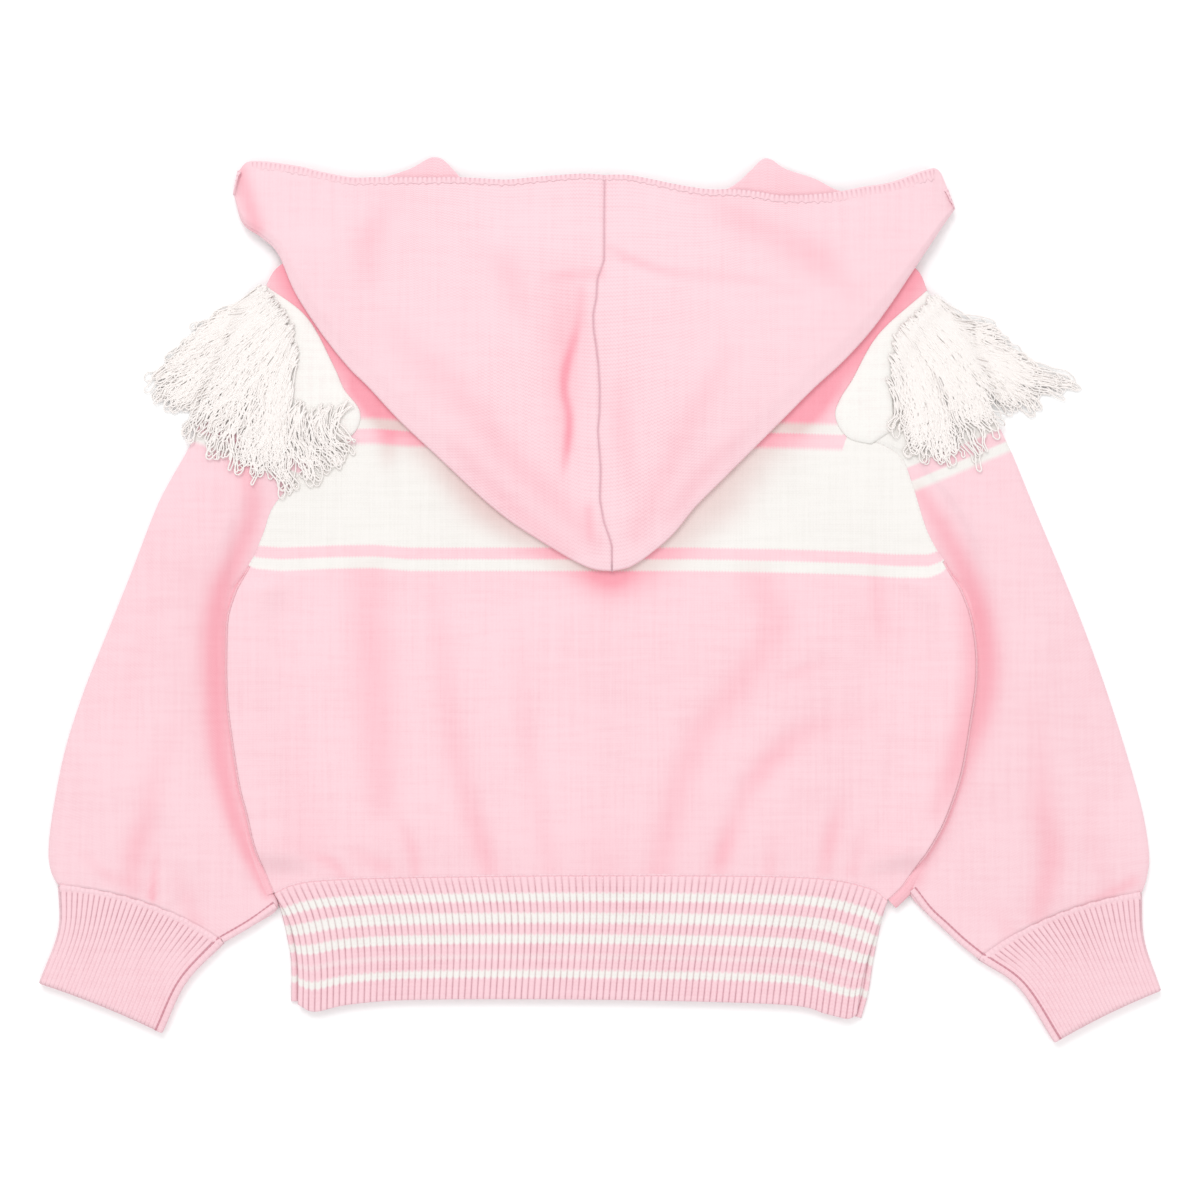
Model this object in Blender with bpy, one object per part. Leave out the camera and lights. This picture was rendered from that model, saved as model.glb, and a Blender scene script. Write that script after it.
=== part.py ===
"""A hooded baby cardigan in fine pink knit, laid flat on its fronts with the back up.

+X is to the right as seen from above, +Y points to the hood and +Z is up.
The floor is z = 0, and the origin is the middle of the garment's box there.
All tables are in millimetres, and every mesh is written in metres.
"""

import bmesh
import bpy
import numpy as np
from mathutils import Vector
from mathutils.bvhtree import BVHTree

MM = 0.001

# ---------------------------------------------------------------- driving dimensions (mm)
WALL = 1.8  # thickness of the knitted cloth
PLY = 0.5  # space between two layers that lie on each other
SEAM = 0.4  # space between two pieces where they are sewn together
FLAT = 2 * WALL + PLY  # two layers lying on each other
LIFT = FLAT + PLY  # how far the body's sides rise to lie on the sleeves
LIFT_FLAT = 8.5  # width of the side strip that lies level on the sleeve
LIFT_SLOPE = 17.0  # width over which the body comes down to the floor again
LIFT_SPAN = ((-116.0, -105.0), (4.0, 13.0))  # y: starts, is full; is full, ends

BODY_SWELL = 1.1  # how far the loose back stands off the fronts
SWELL_Y = ((-118.0, -100.0), (-22.0, 4.0))  # y: starts, is full; begins to go, is gone
SWELL_X = ((-150.0, -118.0), (112.0, 146.0))  # the same across
SLEEVE_DOME = ((0.14, 0.48), (0.66, 0.98))  # the same for the sleeve's air, shares across it
HOOD_SWELL = 2.2  # air inside the hood
HOOD_AIR = ((0.0, 0.3), (0.6, 1.0))  # the same from the face edge to the fold
HOOD_CORNER = (0.1, 0.45)  # shares of the way to the seam where the air starts and is full
HOOD_SEAM_AIR = ((0.8, 1.0), 0.5)  # where the seam draws it in, and by what share
HOOD_TURN = (-50.0, 0.0, 50.0)  # degrees round the fold where its points lie
HOOD_DROOP = 0.25  # fall of the hood beyond the shoulder line, mm per mm
HOOD_MARGIN = 12.0  # how far beyond the shoulder line the fall begins
HOOD_LOW = 0.6  # the lowest the hood hangs over the floor

RIB_HEIGHT = 0.7
HEM_RIBS = 90
CUFF_RIBS = 30
CUFF_FOLD = 0.02  # share of the cuff's width from its folded edge to the first rib
CUFF_UNDER = 9  # columns of the cuff's plain underside
RIB_PROFILE = ((0.0, 0.0), (0.5, 1.0))  # share of a rib's width, share of its height

STRANDS = 34  # locks of yarn in each fringe
STRAND_WIDTH = (1.1, 0.9)  # at the root and at the tip
STRAND_HEIGHT = (1.4, 1.0)
STRAND_STEPS = 4
STRAND_LEVELS = 3  # the locks lie over each other in this many layers
LEVEL_STEP = 1.8
LEVEL_RISE = 2  # steps from the root until a lock lies in its layer
LOCK_BEND = 0.4  # share of a lock's length in which it leaves the band squarely
LOCK_REACH = 0.6  # share of a step round each of its points that a lock keeps clear
BAND_THICKNESS = 1.4  # the knitted band that carries the locks
BAND_INSET = 1.2  # from the armhole seam to the band
BAND_LEVEL = 0.3  # how much lower than its highest row a column of the band may lie
BAND_CLEAR = 2.5  # how far round its points the band keeps clear of what it lies on
FRINGE_CLEAR = 0.45  # space between the fringe and what it lies on
FRINGE_FALL = 0.35  # steepest fall of a lock, mm per mm
FLOOR_CLEAR = 0.6

RAY_HEIGHT = 60.0  # height from which the fringe looks for what it lies on
END_FADE = 6  # power with which a panel's end shape fades into the panel
EDGE_STEPS = 40  # points along the body's side from which the sleeve's edge is taken
SEAM_STEPS = 400  # points along a seam from which one half is cut
CURVE_STEPS = 12  # cuts in each span of a smooth curve

# ---------------------------------------------------------------- outlines (mm)
# armhole seams from the underarm up to the shoulder point: x, y
ARMHOLE = {
    "left": ((-147, 14), (-141, 28), (-137, 39), (-126, 52), (-112, 66), (-104, 71), (-102, 79),
             (-106, 88), (-111, 98), (-123, 118), (-141, 131)),
    "right": ((144, 16), (137, 29), (131, 48), (126, 60), (116, 66), (105, 69), (100, 77),
              (102, 84), (107, 92), (118, 111), (138, 129)),
}
# side edges of the body from the hem up to the underarm: y, x, how far the sleeve is tucked under
SIDE = {
    "left": ((-123, -137, -0.6), (-113, -141, -0.6), (-101, -145, -0.6), (-90, -147.5, 2.5),
             (-76, -151, 6), (-49, -155, 7), (-34, -156, 7), (-21, -156, 5.5), (-8, -155.5, 2.5),
             (1, -153, -0.5), (7, -150.5, -0.5), (14, -147, -0.5)),
    "right": ((-126, 121, -0.6), (-119.5, 127.5, -0.6), (-111, 133, -0.6), (-101, 139.5, -0.6),
              (-90, 145, 2.5), (-72, 151, 6), (-49, 155, 7), (-34, 157, 7), (-21, 157, 5.5),
              (-8, 155, 2.5), (1, 152, -0.5), (8, 148.5, -0.5), (16, 144, -0.5)),
}
# sleeve beyond the body's corner: the lower inner edge down to the cuff, and the whole outer edge
SLEEVE_INNER_END = {
    "left": ((-135.5, -129.5), (-146, -137), (-158, -144)),
    "right": ((130, -122.5), (137, -131.5), (144, -138), (151, -144.5), (159, -151)),
}
SLEEVE_LEAVES = {"left": -120, "right": -117}  # y where the sleeve's inner edge leaves the body's
SLEEVE_OUTER = {
    "left": ((-141, 131), (-151, 113), (-162, 90), (-172, 66), (-181, 50), (-187, 38), (-197, 12),
             (-207, -13), (-217, -38), (-225, -63), (-230, -88), (-232, -105), (-231, -114), (-228, -120)),
    "right": ((138, 129), (147, 117), (158, 96), (168, 73), (174, 60), (183, 38), (194, 12),
              (204, -13), (213, -38), (221, -63), (228, -88), (231, -107), (230, -117), (228, -123)),
}
# share of the inner edge, share of the outer edge, share of the armhole's bulge, bow, air inside
SLEEVE_SECTIONS = (
    (0.000, 0.000, 1.00, 0.0, 0.0),
    (0.004, 0.012, 0.76, 0.0, 0.1),
    (0.012, 0.045, 0.54, 0.0, 0.3),
    (0.030, 0.11, 0.36, 0.0, 0.6),
    (0.07, 0.20, 0.22, 0.0, 1.2),
    (0.13, 0.30, 0.12, 0.0, 1.9),
    (0.21, 0.41, 0.04, 0.0, 2.5),
    (0.33, 0.52, 0.00, 0.5, 3.0),
    (0.46, 0.62, 0.00, 1.0, 3.2),
    (0.58, 0.70, 0.00, 1.5, 3.2),
    (0.66, 0.755, 0.00, 1.5, 3.1),
    (0.71, 0.79, 0.00, 1.5, 3.0),
    (0.77, 0.83, 0.00, 2.0, 2.8),
    (0.84, 0.89, 0.00, 3.0, 2.3),
    (0.92, 0.95, 0.00, 4.5, 1.5),
    (1.00, 1.00, 0.00, 5.5, 0.6),
)
# share across a sleeve or cuff, from its inner to its outer edge
ACROSS = (0.0, 0.02, 0.12, 0.24, 0.36, 0.47, 0.58, 0.69, 0.81, 0.98, 1.0)
# cuffs: inner x, inner y, outer x, outer y, bow
CUFF_SECTIONS = {
    "left": ((-158, -144, -228, -120, 5.5), (-174, -161, -228, -139, 3.0), (-184, -182, -236, -161, 1.0)),
    "right": ((159, -151, 228, -123, 5.5), (176, -163, 229, -143, 3.0), (191, -186, 236, -164, 1.0)),
}
# seam between the body and the hem rib, left to right
HEM_SEAM = ((-137, -123), (-129, -120), (-115, -118), (-77, -117), (0, -116), (84, -117), (112, -121),
            (121, -126))
HEM_BACK = {
    "bottom": ((-127, -170), (-120, -173), (-105, -170), (-76, -168), (0, -168), (76, -170), (95, -174),
               (104, -176), (108, -174)),
    "left": ((-127, -170), (-127, -155), (-128.5, -143), (-131.5, -133), (-137, -123)),
    "right": ((108, -174), (110, -161), (113, -149), (117, -136), (121, -126)),
}
HEM_FRONT = {
    "bottom": ((-130, -169), (-105, -168), (-60, -166), (0, -166), (60, -167), (90, -171), (110, -176)),
    "left": ((-130, -169), (-130, -153), (-131.5, -143), (-134, -132), (-137, -123)),
    "right": ((110, -176), (113, -165), (115, -152), (118, -137), (121, -126)),
}
# top of the panels from the left shoulder point to the right one
BACK_TOP = ((-141, 131), (-134, 141), (-112, 151), (-69, 168), (-40, 164), (0, 162), (40, 164), (69, 168),
            (112, 151), (132, 140), (138, 129))
# how much lower the fronts' neck is: distance from the centre, drop
NECK_DROP = ((0, 42), (28, 34), (50, 18), (69, 1), (80, 0))
CENTRE_GAP = 0.4  # each front stops this far from the centre line
SIDE_COLUMNS = (0.0, 0.03, 0.048, 0.067, 0.087, 0.108)  # shares of the width, closer where the body is lifted
MIDDLE_COLUMNS = 19
FRONT_COLUMNS = (0.2, 0.35, 0.5)
SIDE_ROWS = (0.0, 0.06, 0.095, 0.13, 0.2, 0.32, 0.44, 0.56, 0.68, 0.8, 0.925, 0.96, 1.0)

# hood halves, from the corner to the centre seam: the face edge, the fold, the neck edge underneath
HOOD = {
    "left": (
        (-152, 180, -154, 170, -151, 178),
        (-146, 184, -150, 158, -145, 182),
        (-128, 182, -142, 152, -128, 180),
        (-115, 179, -135, 145, -114, 177),
        (-104, 177, -128, 129, -102, 175),
        (-95, 177, -117, 112, -93, 177),
        (-84, 177, -106, 98, -80, 181),
        (-76, 177, -97, 89, -73, 185),
        (-68, 177, -84, 75, -70, 186),
        (-59, 177, -68, 60, -66, 185),
        (-49, 176.5, -51, 44, -61, 180),
        (-39, 176, -39, 34, -56, 175),
        (-28, 177, -27, 26, -45, 169),
        (-16, 178, -12, 17, -28, 166),
        (-7, 178.5, -3, 13, -12, 165),
        (2, 178, 5, 12, 2, 165),
    ),
    "right": (
        (146, 172, 149, 164, 145, 171),
        (142, 180, 144, 157, 141, 178),
        (136, 180, 138, 148, 135, 178),
        (122, 175, 130, 136, 122, 173),
        (110, 173, 122, 124, 110, 171),
        (100, 171, 113, 112, 100, 172),
        (91, 170, 102, 100, 90, 177),
        (83, 169.5, 90, 89, 78, 181),
        (75, 169.5, 77, 76, 72, 185),
        (66, 171, 64, 63, 68, 185),
        (56, 172, 52, 51, 63, 180),
        (45, 172, 40, 39, 56, 174),
        (32, 174, 31, 28, 45, 169),
        (20, 176.5, 22, 20, 28, 166),
        (11, 178, 13, 14, 12, 165),
        (2, 178, 5, 12, 2, 165),
    ),
}
# how far the centre seam wanders sideways: share of the way from the face edge to the tip, mm
SEAM_WAVE = ((0.0, 0.0), (0.12, -0.4), (0.22, -0.6), (0.3, -3.5), (0.37, -5.6), (0.46, -3.8), (0.55, -3.0),
             (0.65, -4.5), (0.75, -3.9), (0.85, -4.4), (0.9, -3.4), (0.96, -0.8), (1.0, 0.0))
SEAM_REACH = 5  # the wandering dies out over this power of the way to the corner
HOOD_ROWS = (0.0, 0.12, 0.25, 0.38, 0.51, 0.64, 0.77, 0.89, 0.95)  # share from the open edge to the fold

# fringe bands: outer edge from the shoulder down, and where the locks end: share of the edge, tip x, tip y
BAND_EDGE = {
    "left": ((-140, 128), (-130, 113), (-126, 98), (-123, 84), (-124, 71)),
    "right": ((142, 125), (131, 112), (125, 99), (123, 85), (124, 72)),
}
BAND_REACH = (0.42, 1.0)  # the stretch of the armhole seam that the band is sewn into
TIPS = {
    "left": ((0.0, -170, 113), (0.1, -184, 102), (0.2, -193, 91), (0.3, -194, 80), (0.42, -179, 76),
             (0.55, -172, 68), (0.68, -161, 61), (0.8, -147, 55), (0.9, -138, 48), (1.0, -127, 50)),
    "right": ((0.0, 176, 104), (0.1, 190, 98), (0.18, 197, 89), (0.28, 187, 83), (0.4, 182, 75),
              (0.52, 175, 66), (0.65, 165, 61), (0.78, 152, 58), (0.9, 139, 56), (1.0, 130, 58)),
}
LOCK_LENGTHS = (1.0, 0.9, 0.95)  # by layer, from the lowest

# soft folds: start x, y, end x, y, half width, height (troughs are negative)
BODY_FOLDS = (
    (-61, 4, -53, -97, 8, -0.9),
    (61, -34, 34, -84, 9, -0.8),
    (-90, -6, -84, -52, 7, -0.5),
    (100, -60, 110, -106, 7, -0.6),
    (8, -62, 4, -106, 7, 0.4),
)
SLEEVE_FOLDS = (
    (-186, -92, -189, -122, 7, -1.1),
    (187, -98, 190, -122, 7, -1.1),
    (-178, 10, -196, -60, 12, 0.3),
    (176, 6, 194, -60, 12, 0.3),
)
HOOD_FOLDS = (
    (-10, 118, -15, 92, 7, -0.9),
    (-12, 90, -15, 58, 6, -0.8),
    (-24, 138, 2, 141, 6, -0.5),
    (2, 141, 56, 132, 7, -0.5),
    (62, 152, 40, 96, 9, -0.5),
)

COLOURS = {  # sRGB, 0 to 255
    "pink_knit": (252, 211, 219),
    "pink_rib": (250, 204, 214),
    "white_yarn": (246, 244, 240),
}
KNIT_ROUGHNESS = 0.9


# ---------------------------------------------------------------- curves
def smoothstep(x, start, end):
    """0 before start, 1 after end, and a soft rise between them."""
    t = np.clip((np.asarray(x, float) - start) / (end - start), 0.0, 1.0)
    return t * t * (3.0 - 2.0 * t)


def along(points, where):
    """Smooth curve through the points, read at shares of its length.

    Each span is a cubic with the slopes of its neighbours' chords, and the shares are measured
    along the cut curve. where is a number of points at equal steps, or the shares.
    """
    points = np.asarray(points, float)
    ends = np.vstack((2 * points[0] - points[1], points, 2 * points[-1] - points[-2]))
    before, start, end, after = ends[:-3, None], ends[1:-2, None], ends[2:-1, None], ends[3:, None]
    t = np.linspace(0.0, 1.0, CURVE_STEPS, endpoint=False)[None, :, None]
    fine = 0.5 * (2 * start + (end - before) * t + (2 * before - 5 * start + 4 * end - after) * t**2
                  + (3 * start - before - 3 * end + after) * t**3)
    fine = np.vstack((fine.reshape(-1, points.shape[1]), points[-1:]))
    run = np.concatenate(([0.0], np.cumsum(np.linalg.norm(np.diff(fine, axis=0), axis=1))))
    shares = np.linspace(0.0, 1.0, where) if isinstance(where, int) else np.asarray(where, float)
    return np.column_stack([np.interp(shares * run[-1], run, column) for column in fine.T])


def window(x, spans):
    """Rises over the first span and goes down again over the second."""
    return smoothstep(x, *spans[0]) * (1.0 - smoothstep(x, *spans[1]))


def tangents(line):
    """Unit directions along a line of points in the plane."""
    steps = np.gradient(line, axis=0)
    return steps / np.linalg.norm(steps, axis=1, keepdims=True)


def sideways(line, distance):
    """The line moved to its left by a distance, in the plane."""
    direction = tangents(line)
    return line + distance * np.column_stack((-direction[:, 1], direction[:, 0]))


def patch(bottom, top, left, right, columns, rows):
    """Surface between four edges.

    Straight rows between the sides, plus what the bottom and the top depart from a straight
    line between their own ends. That fades with a power of the way to the other end.
    """
    s = np.asarray(columns, float)[None, :, None]
    r = np.asarray(rows, float)[:, None, None]
    across = (1 - s) * left[:, None] + s * right[:, None]
    bottom_shape = bottom[None] - (1 - s) * bottom[0] - s * bottom[-1]
    top_shape = top[None] - (1 - s) * top[0] - s * top[-1]
    return across + (1 - r) ** END_FADE * bottom_shape + r**END_FADE * top_shape


def relief(plan, folds):
    """Sum of soft folds: each is its height times a bell across it, fading out at its ends."""
    total = np.zeros(plan.shape[:-1])
    for start_x, start_y, end_x, end_y, half_width, height in folds:
        start = np.array((start_x, start_y), float)
        axis = np.array((end_x, end_y), float) - start
        length = np.linalg.norm(axis)
        axis /= length
        offset = plan - start
        reach = offset @ axis
        side = offset @ np.array((-axis[1], axis[0]))
        fade = window(reach, ((-half_width, half_width), (length - half_width, length + half_width)))
        total += height * fade * np.exp(-((side / half_width) ** 2))
    return total


def rib_columns(count):
    """Shares across a band of ribs, and each one's share of the rib height. Both ends are grooves."""
    shares = [(rib + at) / count for rib in range(count) for at, _ in RIB_PROFILE] + [1.0]
    heights = [high for _ in range(count) for _, high in RIB_PROFILE] + [0.0]
    return np.array(shares), np.array(heights)


# ---------------------------------------------------------------- meshes
def material(name, colour):
    """A matt cloth finish in one of the sRGB colours."""
    made = bpy.data.materials.new(name)
    made.use_nodes = True
    shader = made.node_tree.nodes["Principled BSDF"]
    srgb = np.array(COLOURS[colour]) / 255.0
    linear = np.where(srgb <= 0.04045, srgb / 12.92, ((srgb + 0.055) / 1.055) ** 2.4)
    shader.inputs["Base Color"].default_value = (*linear, 1.0)
    shader.inputs["Roughness"].default_value = KNIT_ROUGHNESS
    shader.inputs["Metallic"].default_value = 0.0
    made.diffuse_color = (*linear, 1.0)
    return made


def add_object(name, points, faces, colour):
    """One closed body, its faces turned outwards, in metres."""
    mesh = bpy.data.meshes.new(name)
    mesh.from_pydata((np.asarray(points, float) * MM).tolist(), [], faces)
    work = bmesh.new()
    work.from_mesh(mesh)
    bmesh.ops.recalc_face_normals(work, faces=work.faces)
    work.to_mesh(mesh)
    work.free()
    mesh.materials.append(material(name, colour))
    made = bpy.data.objects.new(name, mesh)
    bpy.context.scene.collection.objects.link(made)
    return made


def grid_quads(rows, columns, first, closed=False):
    """Faces of a grid of points; closed joins the last column to the first."""
    spans = columns if closed else columns - 1
    return [(first + i * columns + j, first + i * columns + (j + 1) % columns,
             first + (i + 1) * columns + (j + 1) % columns, first + (i + 1) * columns + j)
            for i in range(rows - 1) for j in range(spans)]


def wall(outer, inner, closed=False):
    """Points and faces of a wall between two grids, closed round its rims."""
    rows, columns = outer.shape[:2]
    count = rows * columns
    points = np.vstack((outer.reshape(-1, 3), inner.reshape(-1, 3)))
    faces = grid_quads(rows, columns, 0, closed) + grid_quads(rows, columns, count, closed)
    spans = columns if closed else columns - 1
    for row in (0, rows - 1):
        for j in range(spans):
            here, there = row * columns + j, row * columns + (j + 1) % columns
            faces.append((here, there, count + there, count + here))
    if not closed:
        for column in (0, columns - 1):
            for i in range(rows - 1):
                here, there = i * columns + column, (i + 1) * columns + column
                faces.append((here, there, count + there, count + here))
    return points, faces


def with_height(plan, height):
    """Plan points with their heights."""
    return np.concatenate((plan, np.broadcast_to(height, plan.shape[:-1])[..., None]), axis=-1)


def add_sheet(name, plan, low, raised, colour):
    """A panel of cloth: its underside at low, its top a wall higher and raised by its ribs."""
    points, faces = wall(with_height(plan, low + WALL + raised), with_height(plan, low))
    return add_object(name, points, faces, colour)


# ---------------------------------------------------------------- body
def side_edge(side, where):
    """The body's side edge from the hem to the underarm."""
    return along([(x, y) for y, x, _ in SIDE[side]], where)


def panel_side(side):
    """The side edge and the armhole as one line, from the hem up to the shoulder point."""
    return np.vstack((side_edge(side, SIDE_ROWS), along(ARMHOLE[side], ACROSS)[1:]))


def lift(plan):
    """How far the body is lifted where its sides lie on the sleeves."""
    x, y = plan[..., 0], plan[..., 1]
    rise = np.zeros_like(x)
    for side, sign in (("left", 1.0), ("right", -1.0)):
        rows = np.array(SIDE[side], float)
        inwards = sign * (x - np.interp(y, rows[:, 0], rows[:, 1]))
        rise = np.maximum(rise, 1.0 - smoothstep(inwards, LIFT_FLAT, LIFT_FLAT + LIFT_SLOPE))
    return LIFT * rise * window(y, LIFT_SPAN)


def body_swell(plan):
    """How far the loose lower back stands off the fronts, with its folds."""
    room = window(plan[..., 1], SWELL_Y) * window(plan[..., 0], SWELL_X)
    return np.maximum(room * (BODY_SWELL + relief(plan, BODY_FOLDS)), 0.0)


def body_plan(columns):
    """Plan of the whole back, at the given shares of its width."""
    rows = np.linspace(0.0, 1.0, len(SIDE_ROWS) + len(ACROSS) - 1)
    return patch(along(HEM_SEAM, columns), along(BACK_TOP, columns), panel_side("left"), panel_side("right"),
                 columns, rows)


def make_back():
    middle = np.linspace(SIDE_COLUMNS[-1], 1 - SIDE_COLUMNS[-1], MIDDLE_COLUMNS)
    columns = np.concatenate((SIDE_COLUMNS[:-1], middle, 1 - np.array(SIDE_COLUMNS[-2::-1])))
    plan = body_plan(columns)
    return add_sheet("back", plan, WALL + PLY + lift(plan) + body_swell(plan), 0.0, "pink_knit")


def make_front(side):
    """The back's own plan as far as the centre line, with a lower neck."""
    half = np.concatenate((SIDE_COLUMNS, FRONT_COLUMNS))
    plan = body_plan(np.concatenate((half, 1 - half[-2::-1])))
    plan = (plan[:, :len(half)] if side == "left" else plan[:, -len(half):]).copy()
    upper = smoothstep(np.linspace(0.0, 1.0, len(plan)), 0.6, 1.0)[:, None]
    plan[..., 1] -= upper * np.interp(np.abs(plan[..., 0]), *np.array(NECK_DROP).T)
    centre = -1 if side == "left" else 0
    plan[:, centre, 0] = -CENTRE_GAP if side == "left" else CENTRE_GAP
    return add_sheet("front_" + side, plan, lift(plan), 0.0, "pink_knit")


def front_half(curve, side, columns):
    """The half of a left-to-right curve that belongs to one front, from its side to the centre."""
    fine = along(curve, SEAM_STEPS)
    inside = fine[:, 0] < -CENTRE_GAP if side == "left" else fine[:, 0] > CENTRE_GAP
    half = fine[inside] if side == "left" else fine[inside][::-1]
    shares = np.asarray(columns) * (len(half) - 1)
    return np.column_stack([np.interp(shares, np.arange(len(half)), column) for column in half.T])


def make_hem_back():
    columns, ribs = rib_columns(HEM_RIBS)
    rows = np.array((0.0, 0.55, 1.0))
    top = along(HEM_SEAM, columns) - (0, SEAM)
    bottom = along(HEM_BACK["bottom"], columns)
    left = along(HEM_BACK["left"], rows) - np.outer(rows, (0, SEAM))
    right = along(HEM_BACK["right"], rows) - np.outer(rows, (0, SEAM))
    plan = patch(bottom, top, left, right, columns, rows)
    return add_sheet("hem_back", plan, WALL + PLY, RIB_HEIGHT * ribs[None], "pink_rib")


def make_hem_front(side):
    columns = np.linspace(0.0, 1.0, 9)
    rows = np.array((0.0, 0.5, 0.8, 1.0))
    top = front_half(HEM_SEAM, side, columns) - (0, SEAM)
    bottom = front_half(HEM_FRONT["bottom"], side, columns)
    outer = along(HEM_FRONT[side], rows) - np.outer(rows, (0, SEAM))
    centre = bottom[-1] + rows[:, None] * (top[-1] - bottom[-1])
    plan = patch(bottom, top, outer, centre, columns, rows)
    return add_sheet("hem_front_" + side, plan, 0.0, 0.0, "pink_rib")


# ---------------------------------------------------------------- sleeves and cuffs
def section_line(inner, outer, bow, shares, hand):
    """Points from the inner to the outer edge, bowed towards the shoulder."""
    shares = np.asarray(shares, float)[:, None]
    chord = outer - inner
    up = -hand * np.array((chord[1], -chord[0])) / np.linalg.norm(chord)
    return inner + shares * chord + bow * 4 * shares * (1 - shares) * up


def flat_tube(lines, tops, raised):
    """Outer and inner rings of a tube laid flat: along its bottom outwards, back along its top.

    lines are the sections' plan points, tops their heights and raised their ribs, both without
    the two folded edges, where the ring turns at half height.
    """
    outer_rings, inner_rings = [], []
    for line, top, ribs in zip(lines, tops, raised):
        shares = np.linspace(0.0, 1.0, len(line))[:, None]
        inset = line + WALL * (1 - 2 * shares) * tangents(line)
        middle = FLAT / 2
        bottom = np.zeros(len(line))
        bottom[[0, -1]] = middle
        under = with_height(line, bottom)
        over = with_height(line[1:-1], top + ribs)[::-1]
        outer_rings.append(np.vstack((under, over)))
        bottom_inside = np.full(len(line), WALL)
        bottom_inside[[0, -1]] = middle
        under = with_height(inset, bottom_inside)
        over = with_height(inset[1:-1], top - WALL)[::-1]
        inner_rings.append(np.vstack((under, over)))
    return np.array(outer_rings), np.array(inner_rings)


def sleeve_lines(side, shares):
    """Plan lines of the sleeve's sections, from the armhole to the cuff."""
    hand = -1.0 if side == "left" else 1.0
    edge = side_edge(side, EDGE_STEPS)[::-1]
    rows = np.array(SIDE[side], float)
    tuck = np.interp(edge[:, 1], rows[:, 0], rows[:, 2])
    tucked = edge - hand * np.column_stack((tuck, np.zeros(len(edge))))
    inner = np.vstack((tucked[tucked[:, 1] > SLEEVE_LEAVES[side]][::2], SLEEVE_INNER_END[side]))
    armhole = sideways(along(ARMHOLE[side], shares), -hand * SEAM)
    inner[0] = armhole[0]
    table = np.array(SLEEVE_SECTIONS)
    inner = along(inner, table[:, 0])
    outer = along(np.vstack((armhole[-1:], SLEEVE_OUTER[side][1:])), table[:, 1])
    bulge = armhole - section_line(armhole[0], armhole[-1], 0.0, shares, hand)
    return [section_line(start, end, bow, shares, hand) + cap * bulge
            for start, end, cap, bow in zip(inner, outer, table[:, 2], table[:, 3])]


def make_sleeve(side):
    shares = np.array(ACROSS)
    lines = sleeve_lines(side, shares)
    inside = shares[1:-1]
    dome = window(inside, SLEEVE_DOME)
    tops = [FLAT + air * dome + dome * relief(line[1:-1], SLEEVE_FOLDS)
            for line, air in zip(lines, np.array(SLEEVE_SECTIONS)[:, 4])]
    outer, inner = flat_tube(lines, tops, np.zeros((len(lines), len(inside))))
    points, faces = wall(outer, inner, closed=True)
    return add_object("sleeve_" + side, points, faces, "pink_knit")


def make_cuff(side):
    """A ribbed tube laid flat: ribs on its top, a plain underside, and a point at each fold."""
    hand = -1.0 if side == "left" else 1.0
    shares, heights = rib_columns(CUFF_RIBS)
    over_shares = CUFF_FOLD + (1 - 2 * CUFF_FOLD) * shares[::-1]
    under_shares = np.linspace(CUFF_FOLD, 1 - CUFF_FOLD, CUFF_UNDER)
    sections = np.array(CUFF_SECTIONS[side], float)
    sections[0, [1, 3]] -= SEAM
    walls = []
    for inset, low, high, ribs in ((0.0, 0.0, FLAT, RIB_HEIGHT * heights[::-1]),
                                   (WALL, WALL, FLAT - WALL, 0.0)):
        rings = []
        for in_x, in_y, out_x, out_y, bow in sections:
            start, end = np.array((in_x, in_y)), np.array((out_x, out_y))
            across = inset * (end - start) / np.linalg.norm(end - start)
            ends = (start + across, end - across, bow)
            folds = section_line(*ends, (0.0, 1.0), hand)
            under = section_line(*ends, under_shares, hand)
            over = section_line(*ends, over_shares, hand)
            rings.append(np.vstack((with_height(folds[:1], FLAT / 2), with_height(under, low),
                                    with_height(folds[1:], FLAT / 2), with_height(over, high + ribs))))
        walls.append(np.array(rings))
    points, faces = wall(*walls, closed=True)
    return add_object("cuff_" + side, points, faces, "pink_rib")


# ---------------------------------------------------------------- hood
def hood_rest(plan):
    """Height the hood lies at: on the back, falling beyond the shoulder line."""
    line = np.array(BACK_TOP, float)
    beyond = plan[..., 1] - np.interp(plan[..., 0], line[1:-1, 0], line[1:-1, 1])
    x = plan[..., 0]
    beyond = np.maximum(beyond, np.maximum(line[1, 0] - x, x - line[-2, 0]))
    return np.maximum(LIFT - HOOD_DROOP * np.maximum(beyond - HOOD_MARGIN, 0.0), HOOD_LOW)


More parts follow.
